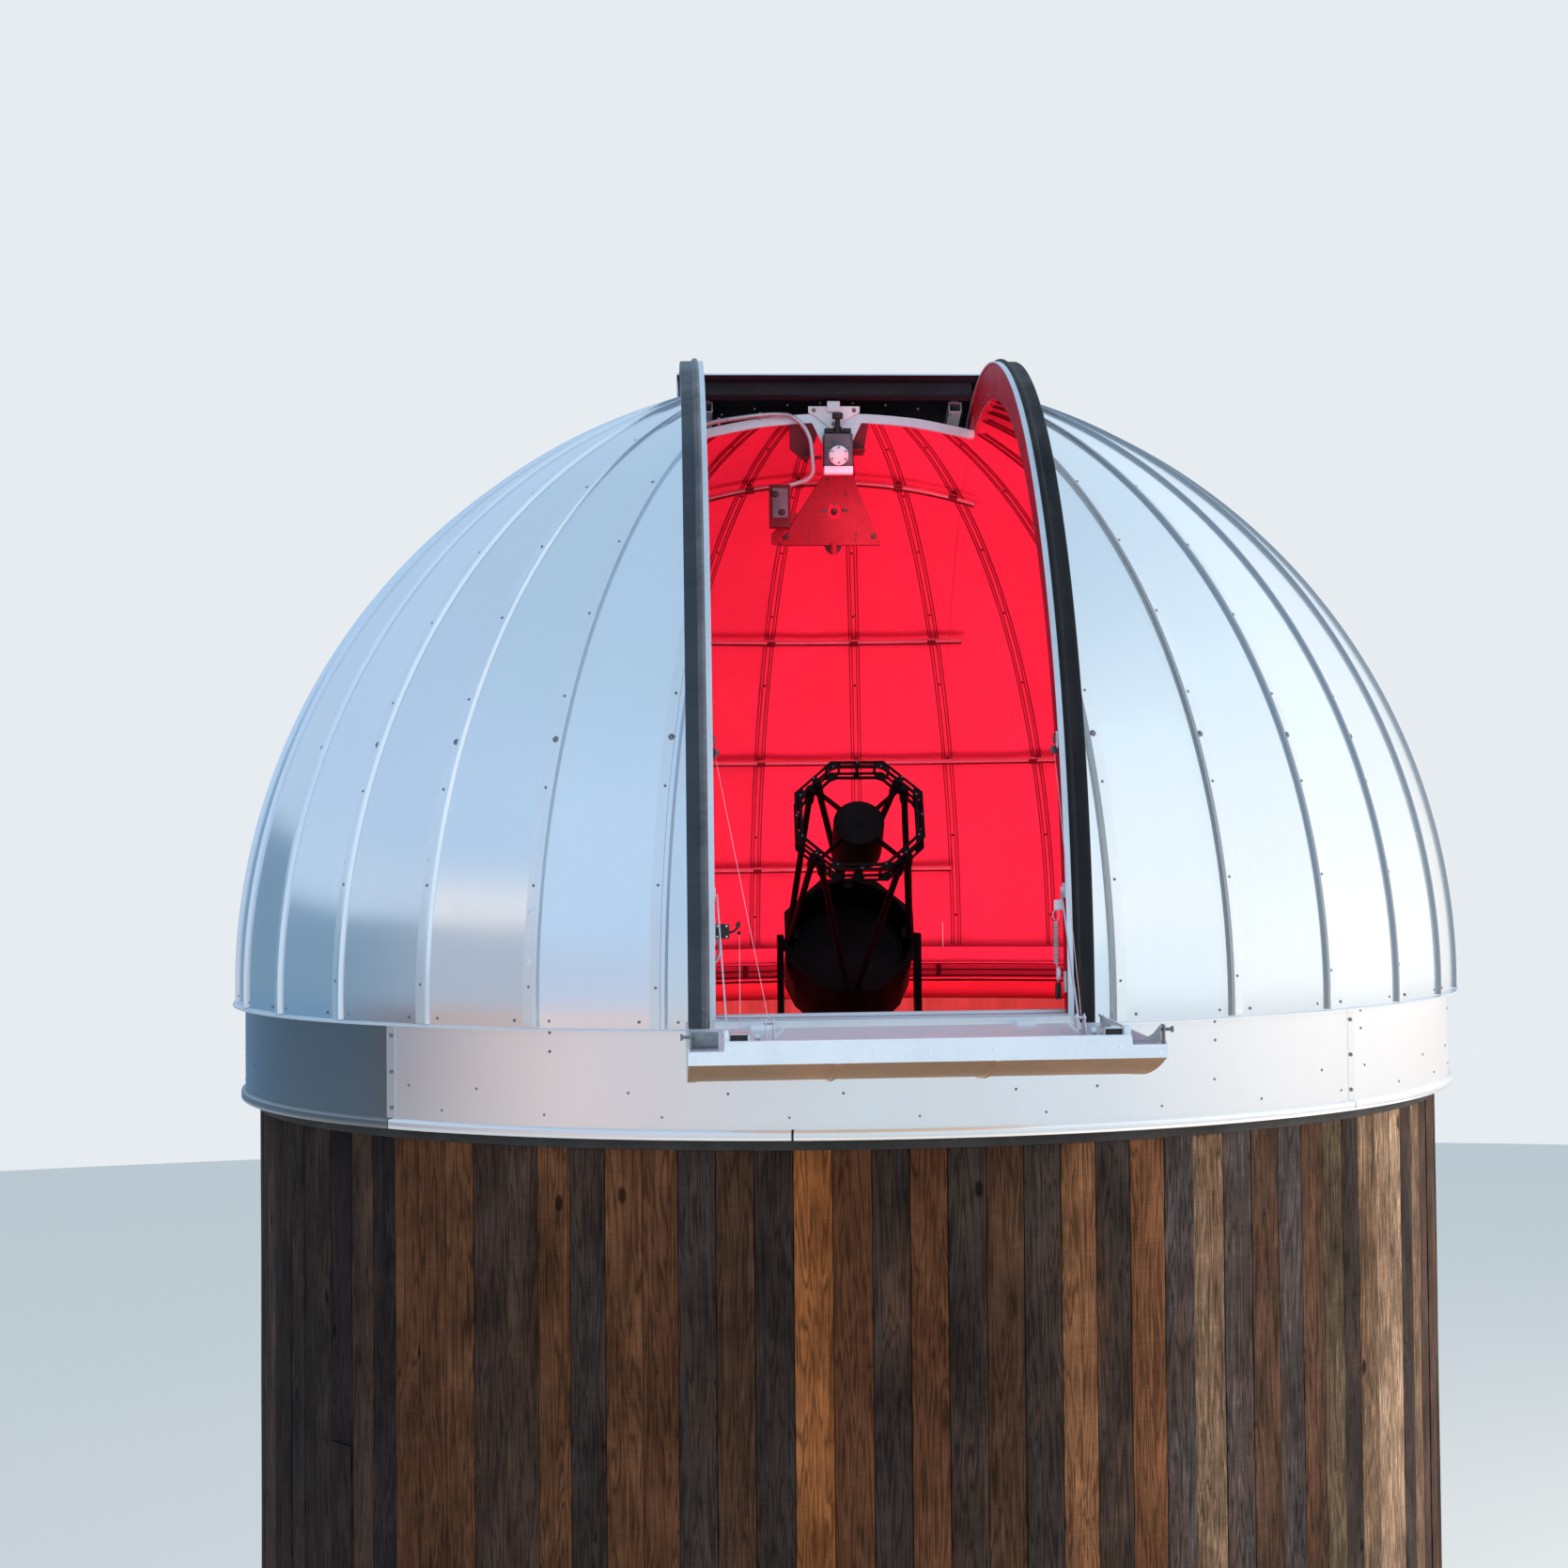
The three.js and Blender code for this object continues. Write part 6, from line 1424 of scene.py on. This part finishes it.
upper_ring = [ring_plate(8, outer, inner, low, low + 0.007, flats=1.0) for low in (0.811, 0.882)
              for outer, inner in ((0.2462, 0.2385), (0.2270, 0.2170))]
lower_ring = [ring_plate(8, 0.2610, 0.2290, 0.0605, 0.0735)]
posts, pole_set, clamps, studs = [], [], [], []
for corner in np.radians(np.arange(0, 360, 45) + 22.5):
    middle = corner + math.radians(22.5)
    for spot, radius in ((corner - 0.11, 0.228), (corner + 0.11, 0.228), (middle, 0.2135)):
        centre = np.array([radius * math.cos(spot), radius * math.sin(spot)])
        posts.append(tube_along([(*centre, 0.817), (*centre, 0.850), (*centre, 0.883)], 0.005, 8))
    for spot, near, far, half in ((corner, 0.212, 0.239, 0.020), (middle, 0.203, 0.224, 0.011)):
        sideways = half * np.array([-math.sin(spot), math.cos(spot)])
        ends = np.array([[near], [far]]) * (math.cos(spot), math.sin(spot))
        for level in (0.8112, 0.8822):
            posts.append(lofted([[(*(ends[0] - sideways), z), (*(ends[0] + sideways), z), (*(ends[1] + sideways), z),
                                  (*(ends[1] - sideways), z)]
                                 for z in (level, level + 0.0066)]))
        studs.append((0.222 * math.cos(spot), 0.222 * math.sin(spot), 0.889))
for i in range(4):
    base = math.radians(90 * i)
    for way in (-1, 1):
        a, b = base + way * math.radians(5), base + way * math.radians(40)
        foot, head = np.array([0.226 * math.cos(a), 0.226 * math.sin(a), 0.066]), np.array([0.218 * math.cos(b),
                                                                                            0.218 * math.sin(b),
                                                                                            0.820])
        pole_set.append(tube_along(foot + (head - foot) * np.linspace(0.01, 0.995, 6)[:, None], 0.0118, 14))
        clamps.append(tube_along(foot + (head - foot) * np.linspace(0.94, 1.03, 3)[:, None], 0.0170, 10))
    block = np.array([0.217 * math.cos(base), 0.217 * math.sin(base)])
    points, faces = ring_plate(4, 0.0305, 0.004, 0.0605, 0.084, 90 * i + 45)
    clamps.append((points + (*block, 0), faces))
angles = np.radians([45, 135, 225, 315])
vanes = []
for angle in angles:
    run = np.linspace(0.084, 0.220, 10)[:, None]
    depth = np.array([0.838, 0.838, 0.812, 0.812])
    thin = np.array([-0.0016, 0.0016, 0.0016, -0.0016])
    rows = np.stack([run * math.cos(angle) - thin * math.sin(angle), run * math.sin(angle) + thin * math.cos(angle),
                     depth + (0.006 - 0.006 * (run - 0.084) / 0.136) * np.sign(depth - 0.825)], -1)
    vanes.append(lofted(rows))
add("truss_assembly", *tubewise(together(*upper_ring, *lower_ring, *posts, *pole_set, *clamps, *vanes)), instrument,
    "telescope_tube",
    "black_metal", "telescope_truss", sharp=40)
studs = np.array(studs)
axis = on_tube([(0, 0, 1)]) - on_tube([(0, 0, 0)])
add("truss_studs", *heads(on_tube(studs), axis + 0 * studs, 0.0042, 0.002, 8), screw_metal, "telescope_tube",
    "galvanised")
baffle = turned_part([(0.842, 0.001), (0.842, 0.020), (0.842, 0.030), (0.8400, 0.086), (0.838, 0.090),
                      (0.760, 0.0905), (0.700, 0.0900), (0.655, 0.088),
                      (0.650, 0.085), (0.650, 0.030), (0.650, 0.001)], (0, 0, 0), (0, 0, 1), 48)
cap = turned_part([(0.8415, 0.001), (0.8415, 0.012), (0.847, 0.012), (0.847, 0.001)], (0, 0, 0), (0, 0, 1), 16)
add("baffle_shell", *tubewise(together(baffle, cap)), instrument, "telescope_tube", "black_metal", "secondary_baffle",
    sharp=40)
cell_ring = [ring_plate(16, 0.2397, 0.2282, -0.230, 0.0600, 11.25),
             ring_plate(16, 0.2340, 0.020, -0.230, -0.170, 11.25)]
mirror_edge = ring_plate(24, 0.206, 0.193, -0.130, -0.060, 0, 96)
wall_ribs = []
for angle in np.arange(0, 360, 22.5):
    t = math.radians(angle)
    rib = brick(0.2257, 0.2312, -0.0035, 0.0035, -0.215, 0.050, 0.001)
    wall_ribs.append(spun(rib, angle))
trunnions = [turned_part([(0, 0.001), (0, 0.0238), (0.0205, 0.0238), (0.0223, 0.022), (0.0223, 0.001)],
                         (side * 0.2345, 0, 0), (side, 0, 0), 28)
             for side in (-1, 1)]
add("mirror_cell_box", *tubewise(together(*cell_ring, mirror_edge, *wall_ribs, *trunnions)), instrument,
    "telescope_tube", "black_metal",
    "telescope_cell", sharp=30)
dish = turned_part([(-0.128, 0.001), (-0.128, 0.191), (-0.070, 0.1925), (-0.0665, 0.1915), (-0.069, 0.150),
                    (-0.0715, 0.080), (-0.0725, 0.001)],
                   (0, 0, 0), (0, 0, 1), 64)
add("mirror_cover", *tubewise(dish), instrument, "telescope_tube", "black_metal", sharp=50)

# --- Red lamps: the dome is lit red inside for night sight, by lamps that hang out of view round the room.
for name, place, target, power, size in (
        ("rear_low_lamp", (0.0, 0.75, 3.3), (0.0, 2.0, 4.7), 37.4, 0.8),
        ("rear_high_lamp", (0.2, 0.05, 5.75), (0.0, 2.0, 5.0), 17.0, 0.6),
        ("left_lamp", (-1.35, 0.1, 3.7), (-0.5, 2.0, 4.9), 22.1, 0.6),
        ("right_lamp", (1.35, 0.1, 3.7), (0.5, 2.0, 4.9), 17.85, 0.6)):
    soft_lamp(name, place, target, size, power, (1.0, 0.16, 0.24))
